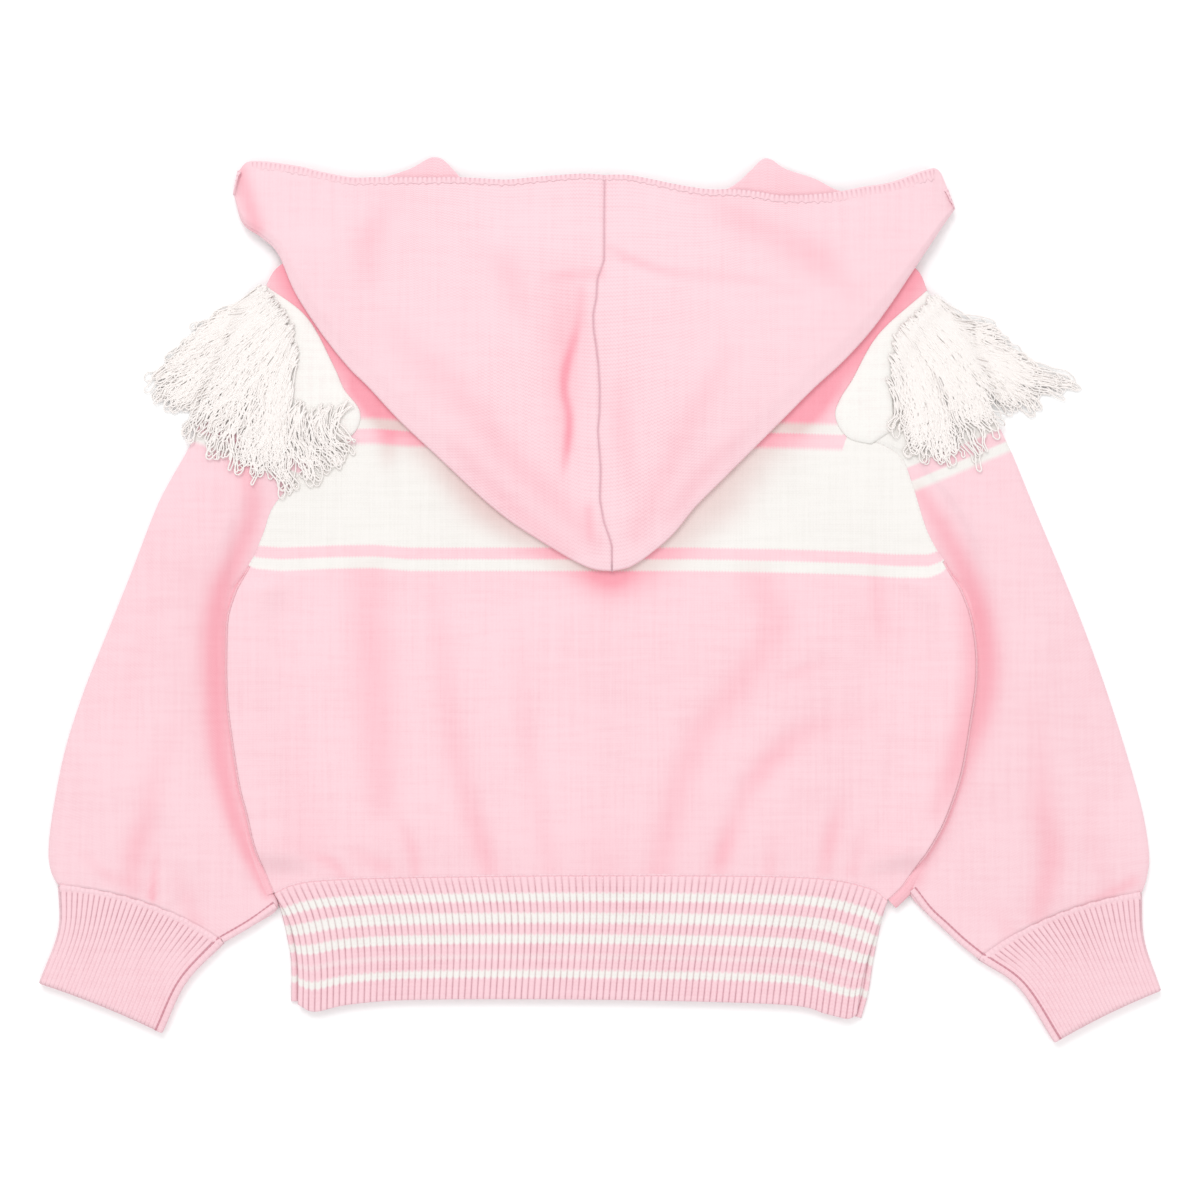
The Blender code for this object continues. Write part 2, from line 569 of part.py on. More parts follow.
def make_hood(side):
    """A folded sheet: the under layer from the neck edge to the fold, then the upper one back."""
    table = np.array(HOOD[side], float)
    sign = -1.0 if side == "left" else 1.0
    reach = np.linspace(0.0, 1.0, len(table))
    face, fold, neck = table[:, 0:2], table[:, 2:4], table[:, 4:6]
    rows = np.array(HOOD_ROWS)
    wave = np.interp(rows, *np.array(SEAM_WAVE).T)
    drift = reach[:, None] ** SEAM_REACH * wave[None]
    gap = np.array((sign * SEAM / 2, 0.0))

    def layer(edge):
        plan = edge[:, None] + rows[None, :, None] * (fold - edge)[:, None]
        plan[..., 0] += drift
        return plan + gap * (reach[:, None, None] == 1.0)

    under, over = layer(neck), layer(face)
    seam_span, seam_share = HOOD_SEAM_AIR
    by_reach = smoothstep(reach, *HOOD_CORNER) * (1.0 - seam_share * smoothstep(reach, *seam_span))
    room = by_reach[:, None] * window(rows, HOOD_AIR)[None]
    swell = np.maximum(HOOD_SWELL * room + np.minimum(2 * room, 1.0) * relief(over, HOOD_FOLDS), 0.0)
    # the upper layer lies on the back or on the under layer, whichever is higher
    low = hood_rest(under)
    high = np.maximum(hood_rest(over), low) + WALL + PLY + swell

    back_from_fold = table[:, None, 2:4] - under[:, -1:]
    inwards = -back_from_fold / np.linalg.norm(back_from_fold, axis=2, keepdims=True)
    centre_height = low[:, -1:] + FLAT / 2
    fold_at = fold[:, None] + gap * (reach[:, None, None] == 1.0)

    def turn(radius, depth):
        """The rounded fold: points on a half circle of the given radius, depth mm in."""
        angles = np.radians(HOOD_TURN)
        plan = fold_at + inwards * (depth + radius * (1 - np.cos(angles))[None, :, None])
        return with_height(plan, centre_height + radius * np.sin(angles)[None])

    outer = np.concatenate((with_height(under, low), turn(FLAT / 2, 0.0),
                            with_height(over, high + WALL)[:, ::-1]), axis=1)
    inner = np.concatenate((with_height(under, low + WALL), turn(PLY / 2, WALL),
                            with_height(over, high)[:, ::-1]), axis=1)
    points, faces = wall(outer, inner)
    return add_object("hood_" + side, points, faces, "pink_knit")


# ---------------------------------------------------------------- fringes
def tree_of(objects):
    """Search tree over finished pieces, in millimetres."""
    points, faces = [], []
    for made in objects:
        first = len(points)
        points.extend(Vector(vertex.co) / MM for vertex in made.data.vertices)
        faces.extend(tuple(first + index for index in face.vertices) for face in made.data.polygons)
    return BVHTree.FromPolygons(points, faces)


def rest_height(tree, plan, reach):
    """The highest surface within reach of each plan point, or the floor."""
    angles = np.radians(np.arange(0, 360, 45))
    around = [(0.0, 0.0)] + [(reach * np.cos(angle), reach * np.sin(angle)) for angle in angles]
    heights = []
    for x, y in plan:
        starts = [Vector((x + dx, y + dy, RAY_HEIGHT)) for dx, dy in around]
        hits = [tree.ray_cast(start, Vector((0, 0, -1)))[0] for start in starts]
        heights.append(max([hit.z for hit in hits if hit] + [0.0]))
    return np.array(heights)


def lock_path(root, outwards, tip):
    """Plan points of one lock: a bent line from its root, leaving the band squarely."""
    t = np.linspace(0.0, 1.0, STRAND_STEPS + 1)[:, None]
    bend = root + outwards * LOCK_BEND * np.linalg.norm(tip - root)
    return (1 - t) ** 2 * root + 2 * t * (1 - t) * bend + t**2 * tip


def lock_heights(tree, path, root_height, level):
    """Underside of a lock: in its layer over what it lies on, and falling no steeper than it may."""
    steps = np.linalg.norm(np.diff(path, axis=0), axis=1)
    rest = np.maximum(rest_height(tree, path, LOCK_REACH * steps.max()) + FRINGE_CLEAR, FLOOR_CLEAR)
    heights = [root_height]
    for number, step in enumerate(steps, start=1):
        wanted = rest[number] + LEVEL_STEP * level * min(number / LEVEL_RISE, 1.0)
        heights.append(max(wanted, heights[-1] - FRINGE_FALL * step))
    return np.array(heights)


def add_lock(points, faces, root, path, heights):
    """Draw a face of the band out along the path into a lock of four sides, closed at its tip."""
    faces.remove(root)
    ring = root
    directions = tangents(path)
    shares = np.linspace(0.0, 1.0, len(path))
    widths = np.interp(shares, (0, 1), STRAND_WIDTH)
    talls = np.interp(shares, (0, 1), STRAND_HEIGHT)
    first_to_second = np.array(points[root[1]][:2]) - points[root[0]][:2]
    for at, (dx, dy), width, tall, low in list(zip(path, directions, widths, talls, heights))[1:]:
        across = 0.5 * width * np.array((-dy, dx))
        across *= np.sign((-directions[0, 1], directions[0, 0]) @ first_to_second)
        start = len(points)
        points += [(*(at - across), low + tall), (*(at + across), low + tall),
                   (*(at + across), low), (*(at - across), low)]
        new = tuple(range(start, start + 4))
        faces += [(ring[j], ring[(j + 1) % 4], new[(j + 1) % 4], new[j]) for j in range(4)]
        ring = new
    faces.append(ring)


def make_fringe(side, under):
    """A knitted band along the armhole, with faces of its outer edge drawn out into locks."""
    hand = -1.0 if side == "left" else 1.0
    tree = tree_of(under)
    middles = (np.arange(STRANDS) + 0.5) / STRANDS
    edge = along(BAND_EDGE[side], EDGE_STEPS)
    half = 0.5 * STRAND_WIDTH[0] / np.linalg.norm(np.diff(edge, axis=0), axis=1).sum()
    shares = np.concatenate(([0.0], np.stack((middles - half, middles + half), axis=1).ravel(), [1.0]))
    edge = along(BAND_EDGE[side], shares)
    seam = along(ARMHOLE[side], np.interp(shares, (0, 1), BAND_REACH[::-1]))
    seam = sideways(seam, hand * BAND_INSET)
    plan = np.stack((seam, 0.5 * (seam + edge), edge))
    low = np.stack([rest_height(tree, line, BAND_CLEAR) for line in plan]) + FRINGE_CLEAR
    low = np.maximum(low, low.max(axis=0)[None] - BAND_LEVEL)
    points, faces = wall(with_height(plan, low + BAND_THICKNESS), with_height(plan, low))
    points = [tuple(point) for point in points]

    count, last = plan.shape[0] * plan.shape[1], (plan.shape[0] - 1) * plan.shape[1]
    directions = tangents(edge)
    outwards = hand * np.column_stack((-directions[:, 1], directions[:, 0]))
    tips = np.array(TIPS[side])
    for number, middle in enumerate(middles):
        first = 1 + 2 * number
        start = 0.5 * (edge[first] + edge[first + 1])
        level = number % STRAND_LEVELS
        tip = np.array([np.interp(middle, tips[:, 0], column) for column in tips[:, 1:].T])
        path = lock_path(start, outwards[first], start + LOCK_LENGTHS[level] * (tip - start))
        here, there = last + first, last + first + 1
        heights = lock_heights(tree, path, low[-1, first], level)
        add_lock(points, faces, (here, there, count + there, count + here), path, heights)
    return add_object("fringe_" + side, points, faces, "white_yarn")


def main():
    for old in list(bpy.data.objects):
        bpy.data.objects.remove(old)
    back = make_back()
    make_hem_back()
    for side in ("left", "right"):
        front = make_front(side)
        make_hem_front(side)
        sleeve = make_sleeve(side)
        make_cuff(side)
        make_hood(side)
        make_fringe(side, (back, front, sleeve))


main()
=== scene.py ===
# %% [markdown]
# # A hooded baby cardigan, laid flat
# The garment is a small cardigan in fine pink knit. It lies on its fronts with the back up, the
# hood folded down over the back and the sleeves at its sides. Its solids come from the packed
# model, and this script dresses them: every panel becomes a thin shell of cloth with rounded
# edges, and the yarn, the seams and the stitches are added. The first cell loads the solids and
# bakes their placement into their meshes.

import bmesh
import bpy
import numpy as np
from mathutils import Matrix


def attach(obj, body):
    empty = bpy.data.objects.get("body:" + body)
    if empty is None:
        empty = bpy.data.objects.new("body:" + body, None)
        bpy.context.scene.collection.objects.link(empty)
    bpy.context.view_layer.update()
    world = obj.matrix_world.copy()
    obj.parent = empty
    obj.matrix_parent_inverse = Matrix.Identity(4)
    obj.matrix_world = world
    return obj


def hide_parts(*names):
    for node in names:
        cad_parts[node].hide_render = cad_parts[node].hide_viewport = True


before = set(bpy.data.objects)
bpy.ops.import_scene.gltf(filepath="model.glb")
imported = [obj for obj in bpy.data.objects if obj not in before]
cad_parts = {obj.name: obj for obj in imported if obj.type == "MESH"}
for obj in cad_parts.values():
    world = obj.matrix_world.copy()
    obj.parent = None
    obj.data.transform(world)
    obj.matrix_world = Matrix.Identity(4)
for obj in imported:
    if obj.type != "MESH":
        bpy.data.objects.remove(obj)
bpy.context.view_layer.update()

print("nodes:", ", ".join(sorted(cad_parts)))

# %% [markdown]
# ## Sizes
# The cloth is a wall of 1.8 mm. Two layers that lie on each other are half a millimetre apart.
# All the tables below are in millimetres, because a knitter's measures are easy to read there,
# and every mesh is multiplied by MM when it is written. The body's sides lie on the sleeves'
# tucked edges, so they are lifted by the height of a flat sleeve.

# %% Cloth sizes
MM = 0.001
WALL = 1.8  # thickness of the knitted cloth
PLY = 0.5  # space between two layers
SEAM = 0.4  # space between two pieces where they are sewn together
FLAT = 2 * WALL + PLY  # two layers on each other
LIFT = FLAT + PLY  # how far the body's sides rise over the sleeves
LIFT_FLAT, LIFT_SLOPE = 8.5, 17.0  # mm inwards over which the lift stays full, and then falls
LIFT_SPAN = ((-116.0, -105.0), (4.0, 13.0))  # y where it grows and where it ends
EDGE_ROUND = 1.0  # radius with which a cut or sewn edge of one layer turns over
FOLD_ROUND = 5.0  # the same for the folded edge of a sleeve
EDGE_LEAST = 0.35  # share of the wall that is left at an edge
HANDS = {"left": -1.0, "right": 1.0}  # which way x runs from the middle to each side
print(f"two layers lie {FLAT:.1f} mm high, and the body's sides are lifted {LIFT:.1f} mm")

# %% [markdown]
# ## Outlines
# A knitted panel has a few clear corners and long soft edges between them. So each edge is a
# short table of points, and a smooth curve goes through them. Most tables are the same as in the
# solids' own source. The left armhole, the hem's seam and the hood's centre seam lie up to 2.5 mm
# from there, because they follow the garment more closely.

# %% Body outlines
ARMHOLE = {  # from the underarm up to the shoulder point: x, y
    "left": ((-147, 14), (-141, 28), (-137, 39), (-126, 52), (-112, 66), (-104, 71), (-102, 79),
             (-108.5, 88), (-113, 98), (-124, 118), (-141, 131)),
    "right": ((144, 16), (137, 29), (131, 48), (126, 60), (116, 66), (105, 69), (100, 77),
              (102, 84), (107, 92), (118, 111), (138, 129)),
}
SIDE = {  # from the hem up to the underarm: y, x, how far the sleeve is tucked under
    "left": ((-123, -137, -0.6), (-113, -141, -0.6), (-101, -145, -0.6), (-90, -147.5, 2.5),
             (-76, -151, 6), (-49, -155, 7), (-34, -156, 7), (-21, -156, 5.5), (-8, -155.5, 2.5),
             (1, -153, -0.5), (7, -150.5, -0.5), (14, -147, -0.5)),
    "right": ((-126, 121, -0.6), (-119.5, 127.5, -0.6), (-111, 133, -0.6), (-101, 139.5, -0.6),
              (-90, 145, 2.5), (-72, 151, 6), (-49, 155, 7), (-34, 157, 7), (-21, 157, 5.5),
              (-8, 155, 2.5), (1, 152, -0.5), (8, 148.5, -0.5), (16, 144, -0.5)),
}
HEM_SEAM = ((-137, -122.5), (-129, -119), (-115, -117), (-77, -115.8), (0, -115), (84, -115.8),
            (112, -120), (121, -125.5))
BACK_TOP = ((-141, 131), (-134, 141), (-112, 151), (-69, 168), (-40, 164), (0, 162), (40, 164),
            (69, 168), (112, 151), (132, 140), (138, 129))
NECK_DROP = ((0, 42), (28, 34), (50, 18), (69, 1), (80, 0))  # distance from the centre, drop
HEM_BACK = {
    "bottom": ((-127, -170), (-120, -173), (-105, -170), (-76, -168), (0, -168), (76, -170),
               (95, -174), (104, -176), (108, -174)),
    "left": ((-127, -170), (-127, -155), (-128.5, -143), (-131.5, -133), (-137, -123)),
    "right": ((108, -174), (110, -161), (113, -149), (117, -136), (121, -126)),
}
HEM_FRONT = {
    "bottom": ((-130, -169), (-105, -168), (-60, -166), (0, -166), (60, -167), (90, -171), (110, -176)),
    "left": ((-130, -169), (-130, -153), (-131.5, -143), (-134, -132), (-137, -123)),
    "right": ((110, -176), (113, -165), (115, -152), (118, -137), (121, -126)),
}
CENTRE_GAP = 0.4  # mm from the middle to a front's edge

# %% Sleeve and cuff outlines
SLEEVE_LEAVES = {"left": -120, "right": -117}  # y where the sleeve's inner edge leaves the body's
SLEEVE_INNER_END = {
    "left": ((-135.5, -129.5), (-146, -137), (-158, -144)),
    "right": ((130, -122.5), (137, -131.5), (144, -138), (151, -144.5), (159, -151)),
}
SLEEVE_OUTER = {
    "left": ((-141, 131), (-151, 113), (-162, 90), (-172, 66), (-181, 50), (-187, 38), (-197, 12),
             (-207, -13), (-217, -38), (-225, -63), (-230, -88), (-232, -105), (-231, -114), (-228, -120)),
    "right": ((138, 129), (147, 117), (158, 96), (168, 73), (174, 60), (183, 38), (194, 12),
              (204, -13), (213, -38), (221, -63), (228, -88), (231, -107), (230, -117), (228, -123)),
}
# share of the inner edge, share of the outer edge, share of the armhole's bulge, bow, air inside
SLEEVE_SECTIONS = (
    (0.000, 0.000, 1.00, 0.0, 0.0), (0.004, 0.012, 0.76, 0.0, 0.1), (0.012, 0.045, 0.54, 0.0, 0.3),
    (0.030, 0.11, 0.36, 0.0, 0.6), (0.07, 0.20, 0.22, 0.0, 1.2), (0.13, 0.30, 0.12, 0.0, 1.9),
    (0.21, 0.41, 0.04, 0.0, 2.5), (0.33, 0.52, 0.00, 0.5, 3.0), (0.46, 0.62, 0.00, 1.0, 3.2),
    (0.58, 0.70, 0.00, 1.5, 3.2), (0.66, 0.755, 0.00, 1.5, 3.1), (0.71, 0.79, 0.00, 1.5, 3.0),
    (0.77, 0.83, 0.00, 2.0, 2.8), (0.84, 0.89, 0.00, 3.0, 2.3), (0.92, 0.95, 0.00, 4.5, 1.5),
    (1.00, 1.00, 0.00, 5.5, 0.6),
)
SLEEVE_DOME = ((0.14, 0.48), (0.66, 0.98))  # shares across where the air starts, is full, ends
# inner x, inner y, outer x, outer y, bow
CUFF_SECTIONS = {
    "left": ((-158, -144, -228, -120, 5.5), (-174, -161, -228, -139, 3.0), (-184, -182, -236, -161, 1.0)),
    "right": ((159, -151, 228, -123, 5.5), (176, -163, 229, -143, 3.0), (191, -186, 236, -164, 1.0)),
}

# %% Hood outline
# from the corner to the centre seam: the face edge, the fold, the neck edge underneath
HOOD = {
    "left": (
        (-152, 180, -154, 170, -151, 178), (-146, 184, -150, 158, -145, 182),
        (-128, 182, -142, 152, -128, 180), (-115, 179, -135, 145, -114, 177),
        (-104, 177, -128, 129, -102, 175), (-95, 177, -117, 112, -93, 177),
        (-84, 177, -106, 98, -80, 181), (-76, 177, -97, 89, -73, 185),
        (-68, 177, -84, 75, -70, 186), (-59, 177, -68, 60, -66, 185),
        (-49, 176.5, -51, 44, -61, 180), (-39, 176, -39, 34, -56, 175),
        (-28, 177, -27, 26, -45, 169), (-16, 178, -12, 17, -28, 166),
        (-7, 178.5, -3, 13, -12, 165), (2, 178, 5, 12, 2, 165),
    ),
    "right": (
        (146, 172, 149, 164, 145, 171), (142, 180, 144, 157, 141, 178),
        (136, 180, 138, 148, 135, 178), (122, 175, 130, 136, 122, 173),
        (110, 173, 122, 124, 110, 171), (100, 171, 113, 112, 100, 172),
        (91, 170, 102, 100, 90, 177), (83, 169.5, 90, 89, 78, 181),
        (75, 169.5, 77, 76, 72, 185), (66, 171, 64, 63, 68, 185),
        (56, 172, 52, 51, 63, 180), (45, 172, 40, 39, 56, 174),
        (32, 174, 31, 28, 45, 169), (20, 176.5, 22, 20, 28, 166),
        (11, 178, 13, 14, 12, 165), (2, 178, 5, 12, 2, 165),
    ),
}
# how far the centre seam wanders sideways: share of the way from the face edge to the tip, mm
SEAM_WAVE = ((0.0, 0.0), (0.1, -0.5), (0.218, -0.9), (0.265, -3.9), (0.314, -4.4), (0.35, -5.9), (0.39, -5.9),
             (0.428, -5.0), (0.479, -4.1), (0.542, -3.7), (0.6, -4.0), (0.646, -4.8), (0.742, -3.9),
             (0.82, -4.5), (0.876, -3.0), (0.934, 0.2), (1.0, 0.0))
SEAM_REACH = 5  # power with which the wandering dies out towards the corner
HOOD_SWELL = 2.2  # mm of air in the hood, and then the shares of both ways where it starts and is full
HOOD_AIR = ((0.0, 0.3), (0.6, 1.0))
HOOD_CORNER = (0.1, 0.45)
HOOD_SEAM_AIR = ((0.8, 1.0), 0.5)
HOOD_DROOP, HOOD_MARGIN, HOOD_LOW = 0.25, 12.0, 0.6  # how it falls beyond the shoulders, and its lowest
HOOD_SETTLE = 0.35  # how much deeper the soft hood settles than its solid
HOOD_PRESS, PRESS_REACH = 0.38, 12.0  # share by which the fold is pressed flat, and over how many mm
print("hood rows a side:", len(HOOD["left"]))

# %% [markdown]
# ## Curves and soft folds
# A smooth curve through a table of points is a cubic in every span, whose slope at each point is
# that of its neighbours' chord. A soft fold in cloth is a long bell: high or low along a line,
# fading away at its sides and its ends. Both are small functions on whole arrays.

# %% Curves
CURVE_STEPS, STROKE_STEPS = 12, 24  # steps in each span of a curve, and along a whole crease


def smoothstep(x, start, end):
    """0 before start, 1 after end, and 3t^2 - 2t^3 between them."""
    t = np.clip((np.asarray(x, float) - start) / (end - start), 0.0, 1.0)
    return t * t * (3.0 - 2.0 * t)


def window(x, spans):
    """Rises over the first span and goes down again over the second."""
    return smoothstep(x, *spans[0]) * (1.0 - smoothstep(x, *spans[1]))


def unit(vectors):
    """Vectors divided by their lengths."""
    return vectors / np.linalg.norm(vectors, axis=-1, keepdims=True)


def quarter(vectors):
    """Plan vectors turned left by a right angle."""
    return np.stack((-vectors[..., 1], vectors[..., 0]), axis=-1)


def left_of(line):
    """Unit directions to the left of a line of plan points."""
    return quarter(unit(np.gradient(line, axis=0)))


def run_along(lines):
    """The way along each line of points, from 0 at its first point."""
    steps = np.linalg.norm(np.diff(lines, axis=-2), axis=-1).cumsum(axis=-1)
    return np.pad(steps, [(0, 0)] * (steps.ndim - 1) + [(1, 0)])


def from_ends(lines):
    """The way along each line of points to the nearer of its ends."""
    run = run_along(lines)
    return np.minimum(run, run[..., -1:] - run)


def read(at, places, rows):
    """A table's rows read between their places."""
    return np.column_stack([np.interp(at, places, column) for column in np.asarray(rows).T])


def look_up(at, table):
    """Values read off a table of places and values."""
    return np.interp(at, *np.array(table, float).T)


def spline(table, count):
    """Rows between a table's rows, at equal steps of the row number: in each span the cubic
    through both ends whose slopes are half the chords of the neighbours."""
    table = np.asarray(table, float)
    ends = np.vstack((2 * table[0] - table[1], table, 2 * table[-1] - table[-2]))
    at = np.linspace(0, len(table) - 1, count)
    first = np.minimum(at.astype(int), len(table) - 2)
    t = (at - first)[:, None]
    before, start, end, after = (ends[first + k] for k in range(4))
    return 0.5 * (2 * start + (end - before) * t + (2 * before - 5 * start + 4 * end - after) * t**2
                  + (3 * start - before - 3 * end + after) * t**3)


def along(points, where):
    """The smooth curve read at shares of its length, or at a number of equal steps."""
    fine = spline(points, CURVE_STEPS * (len(points) - 1) + 1)
    run = run_along(fine)
    shares = np.linspace(0.0, 1.0, where) if isinstance(where, int) else np.asarray(where, float)
    return read(shares * run[-1], run, fine)


def relief(plan, folds):
    """Sum of soft folds: each is its height times exp(-(side / half width)^2), faded at its ends."""
    total = np.zeros(plan.shape[:-1])
    for start_x, start_y, end_x, end_y, half_width, height in folds:
        axis = np.array((end_x - start_x, end_y - start_y), float)
        length = np.linalg.norm(axis)
        offset = plan - (start_x, start_y)
        reach = offset @ unit(axis)
        side = offset @ quarter(unit(axis))
        fade = window(reach, ((-half_width, half_width), (length - half_width, length + half_width)))
        total += height * fade * np.exp(-((side / half_width) ** 2))
    return total


def nearest(plan, line):
    """Distance of each plan point from a line, and the place along it, as a share of its rows."""
    start, step = line[:-1], np.diff(line, axis=0)
    offset = plan.reshape(-1, 1, 2) - start
    t = np.clip((offset * step).sum(-1) / (step**2).sum(-1), 0.0, 1.0)
    distance = np.linalg.norm(offset - t[..., None] * step, axis=-1)
    best = distance.argmin(axis=1)
    rows = np.arange(len(best))
    place = (best + t[rows, best]) / len(step)
    return distance[rows, best].reshape(plan.shape[:-1]), place.reshape(plan.shape[:-1])


def creases(plan, strokes, widen=1.0):
    """Sum of creases. A crease is a smooth line through rows of x, y, half width and depth, and
    beside it the depth falls with exp(-(distance / half width)^2)."""
    total = np.zeros(plan.shape[:-1])
    for stroke in strokes:
        rows = spline(stroke, STROKE_STEPS)
        distance, place = nearest(plan, rows[:, :2])
        at = place * (STROKE_STEPS - 1)
        half_width, depth = (np.interp(at, np.arange(STROKE_STEPS), column) for column in rows[:, 2:].T)
        total += depth * np.exp(-((distance / (widen * half_width)) ** 2))
    return total


crease = ((0, -50, 7, 0.2), (0, 0, 7, 1.0), (0, 50, 7, 0.2))
at_crease = creases(np.array([[0.0, 0.0], [7.0, 0.0]]), (crease,))
print("a crease at its middle and a half width away:", at_crease.round(2))

# %% [markdown]
# ## Shells of cloth
# Real knitwear has no sharp edges: where a layer ends, its wall rolls over. So a piece is two
# grids of points, its outside and its inside, whose heights come together towards the edges
# along a quarter circle. The grids are closer there. One function joins both grids into a closed
# shell and gives it a map of its stitches and some marks, which the finishes read later.

# %% Shell helpers
CLOSE = (0.0, 0.15, 0.45, 0.9, 1.5)  # mm from an edge where the grid has its closest lines


def shares_with_edges(count, width, close=CLOSE):
    """Shares of a width: lines a few tenths of a millimetre apart at both ends, then equal steps."""
    edge = np.array(close) / width
    return np.concatenate((edge[:-1], np.linspace(edge[-1], 1 - edge[-1], count), 1 - edge[-2::-1]))


def turned(distance, radius=EDGE_ROUND, least=EDGE_LEAST):
    """Share of the full height at a distance from an edge: a quarter circle from least up to 1."""
    t = np.clip(distance / radius, 0.0, 1.0)
    return least + (1 - least) * np.sqrt(1 - (1 - t) ** 2)


def with_height(plan, height):
    """Plan points with their heights."""
    return np.concatenate((plan, np.broadcast_to(height, plan.shape[:-1])[..., None]), axis=-1)


def edge_distance(plan):
    """Distance of each grid point from the nearest end of its row and of its column, in plan."""
    return np.minimum(from_ends(plan), from_ends(plan.swapaxes(0, 1)).T)


def pairs(across, down):
    """A grid of wale and course numbers from a row and a column of them."""
    return np.stack(np.broadcast_arrays(across, down), axis=-1)


def quads(grids):
    """The four corners of each face of grids of numbers."""
    corners = (grids[..., :-1, :-1], grids[..., :-1, 1:], grids[..., 1:, 1:], grids[..., 1:, :-1])
    return np.stack(corners, axis=-1).reshape(-1, 4)


def shell_faces(grids, closed):
    """Four corners for each face of two grids, and of the rims between them, read off the grids."""
    rims = (grids[:, 0], grids[:, -1]) + (() if closed else (grids[..., 0], grids[..., -1]))
    return np.concatenate([quads(part) for part in (grids, *rims)])


def finish_mesh(name, mesh):
    """Turn the faces outwards, shade them smooth and put the piece into the scene."""
    work = bmesh.new()
    work.from_mesh(mesh)
    bmesh.ops.recalc_face_normals(work, faces=work.faces)
    work.to_mesh(mesh)
    work.free()
    mesh.polygons.foreach_set("use_smooth", np.ones(len(mesh.polygons), bool))
    piece = bpy.data.objects.new(name, mesh)
    bpy.context.scene.collection.objects.link(piece)
    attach(piece, "root")
    return piece


def cloth(name, outer, inner, stitches, course=0.0, shade=0.0, thread=0.0, closed=False):
    """A closed shell between two grids of points in mm. stitches is a grid of wale and course
    numbers, one column wider than the points on a closed ring, and each mark is a grid of values."""
    size = outer.shape[:2]
    ids = np.arange(2 * size[0] * size[1]).reshape(2, *size)
    ids = np.concatenate((ids, ids[:, :, :1]), axis=2) if closed else ids
    places = np.broadcast_to(np.arange(ids[0].size).reshape(ids[0].shape), ids.shape)
    points = np.vstack((outer.reshape(-1, 3), inner.reshape(-1, 3))) * MM
    mesh = bpy.data.meshes.new(name)
    mesh.from_pydata(points.tolist(), [], shell_faces(ids, closed).tolist())
    counts = stitches.reshape(-1, 2)[shell_faces(places, closed)].astype(np.float32)
    mesh.uv_layers.new(name="stitches").data.foreach_set("uv", counts.ravel())
    for mark, values in (("course", course), ("shade", shade), ("thread", thread)):
        both = np.tile(np.broadcast_to(values, size).ravel(), 2).astype(np.float32)
        mesh.attributes.new(mark, "FLOAT", "POINT").data.foreach_set("value", both)
    return finish_mesh(name, mesh)


def flat_shell(name, plan, low, stitches, raised=0.0, **marks):
    """One layer of cloth: its middle half a wall over low, its two sides rounding to the edges."""
    share = turned(edge_distance(plan))
    middle, half = low + 0.5 * WALL, 0.5 * WALL * share
    top = with_height(plan, middle + half + raised * share)
    return cloth(name, top, with_height(plan, middle - half), stitches, **marks)


print("share of the wall at an edge and 1 mm in:", turned(np.array((0.0, 1.0))).round(2))

# %% [markdown]
# ## The finishes
# A knitted cloth is recognised by its stitches: columns of small Vs, called wales, in rows
# called courses. They are far too many to model, so the finish draws them. Each piece carries
# a map that counts wales across and courses along, and the finish turns the two counts into the
# height of a V for the bump and into a slight painted shade between the wales and the courses.
# The white bands are read from a mark called course, because the yarn changes colour at a course
# of the cloth. A mark called shade paints shade: it deepens the pink in valleys and creases, as
# light that bounces between pink walls does, and beside the hood's fold. The mark for seams and
# grooves darkens seam lines and paints the shade in the grooves between ribs and between linking
# stitches.

# %% Shader sums
SHEEN_ROUGHNESS = 0.5


def operator(operation, order=1):
    """A Python operator that adds a Math node; an order of -1 swaps its two values."""

    def add_node(term, *others):
        values = dict(enumerate((term, *others)[::order]))
        node = term.finish.node("ShaderNodeMath", {"operation": operation}, values)
        return Term(term.finish, node.outputs[0])

    return add_node


class Term:
    """A shader value that takes part in Python sums: each operation adds a Math node."""

    __add__ = __radd__ = operator("ADD")
    __mul__ = __rmul__ = operator("MULTIPLY")
    __sub__, __rsub__ = operator("SUBTRACT"), operator("SUBTRACT", -1)
    __pow__, __abs__, fraction = operator("POWER"), operator("ABSOLUTE"), operator("FRACT")

    def __init__(self, finish, socket):
        self.finish, self.socket = finish, socket


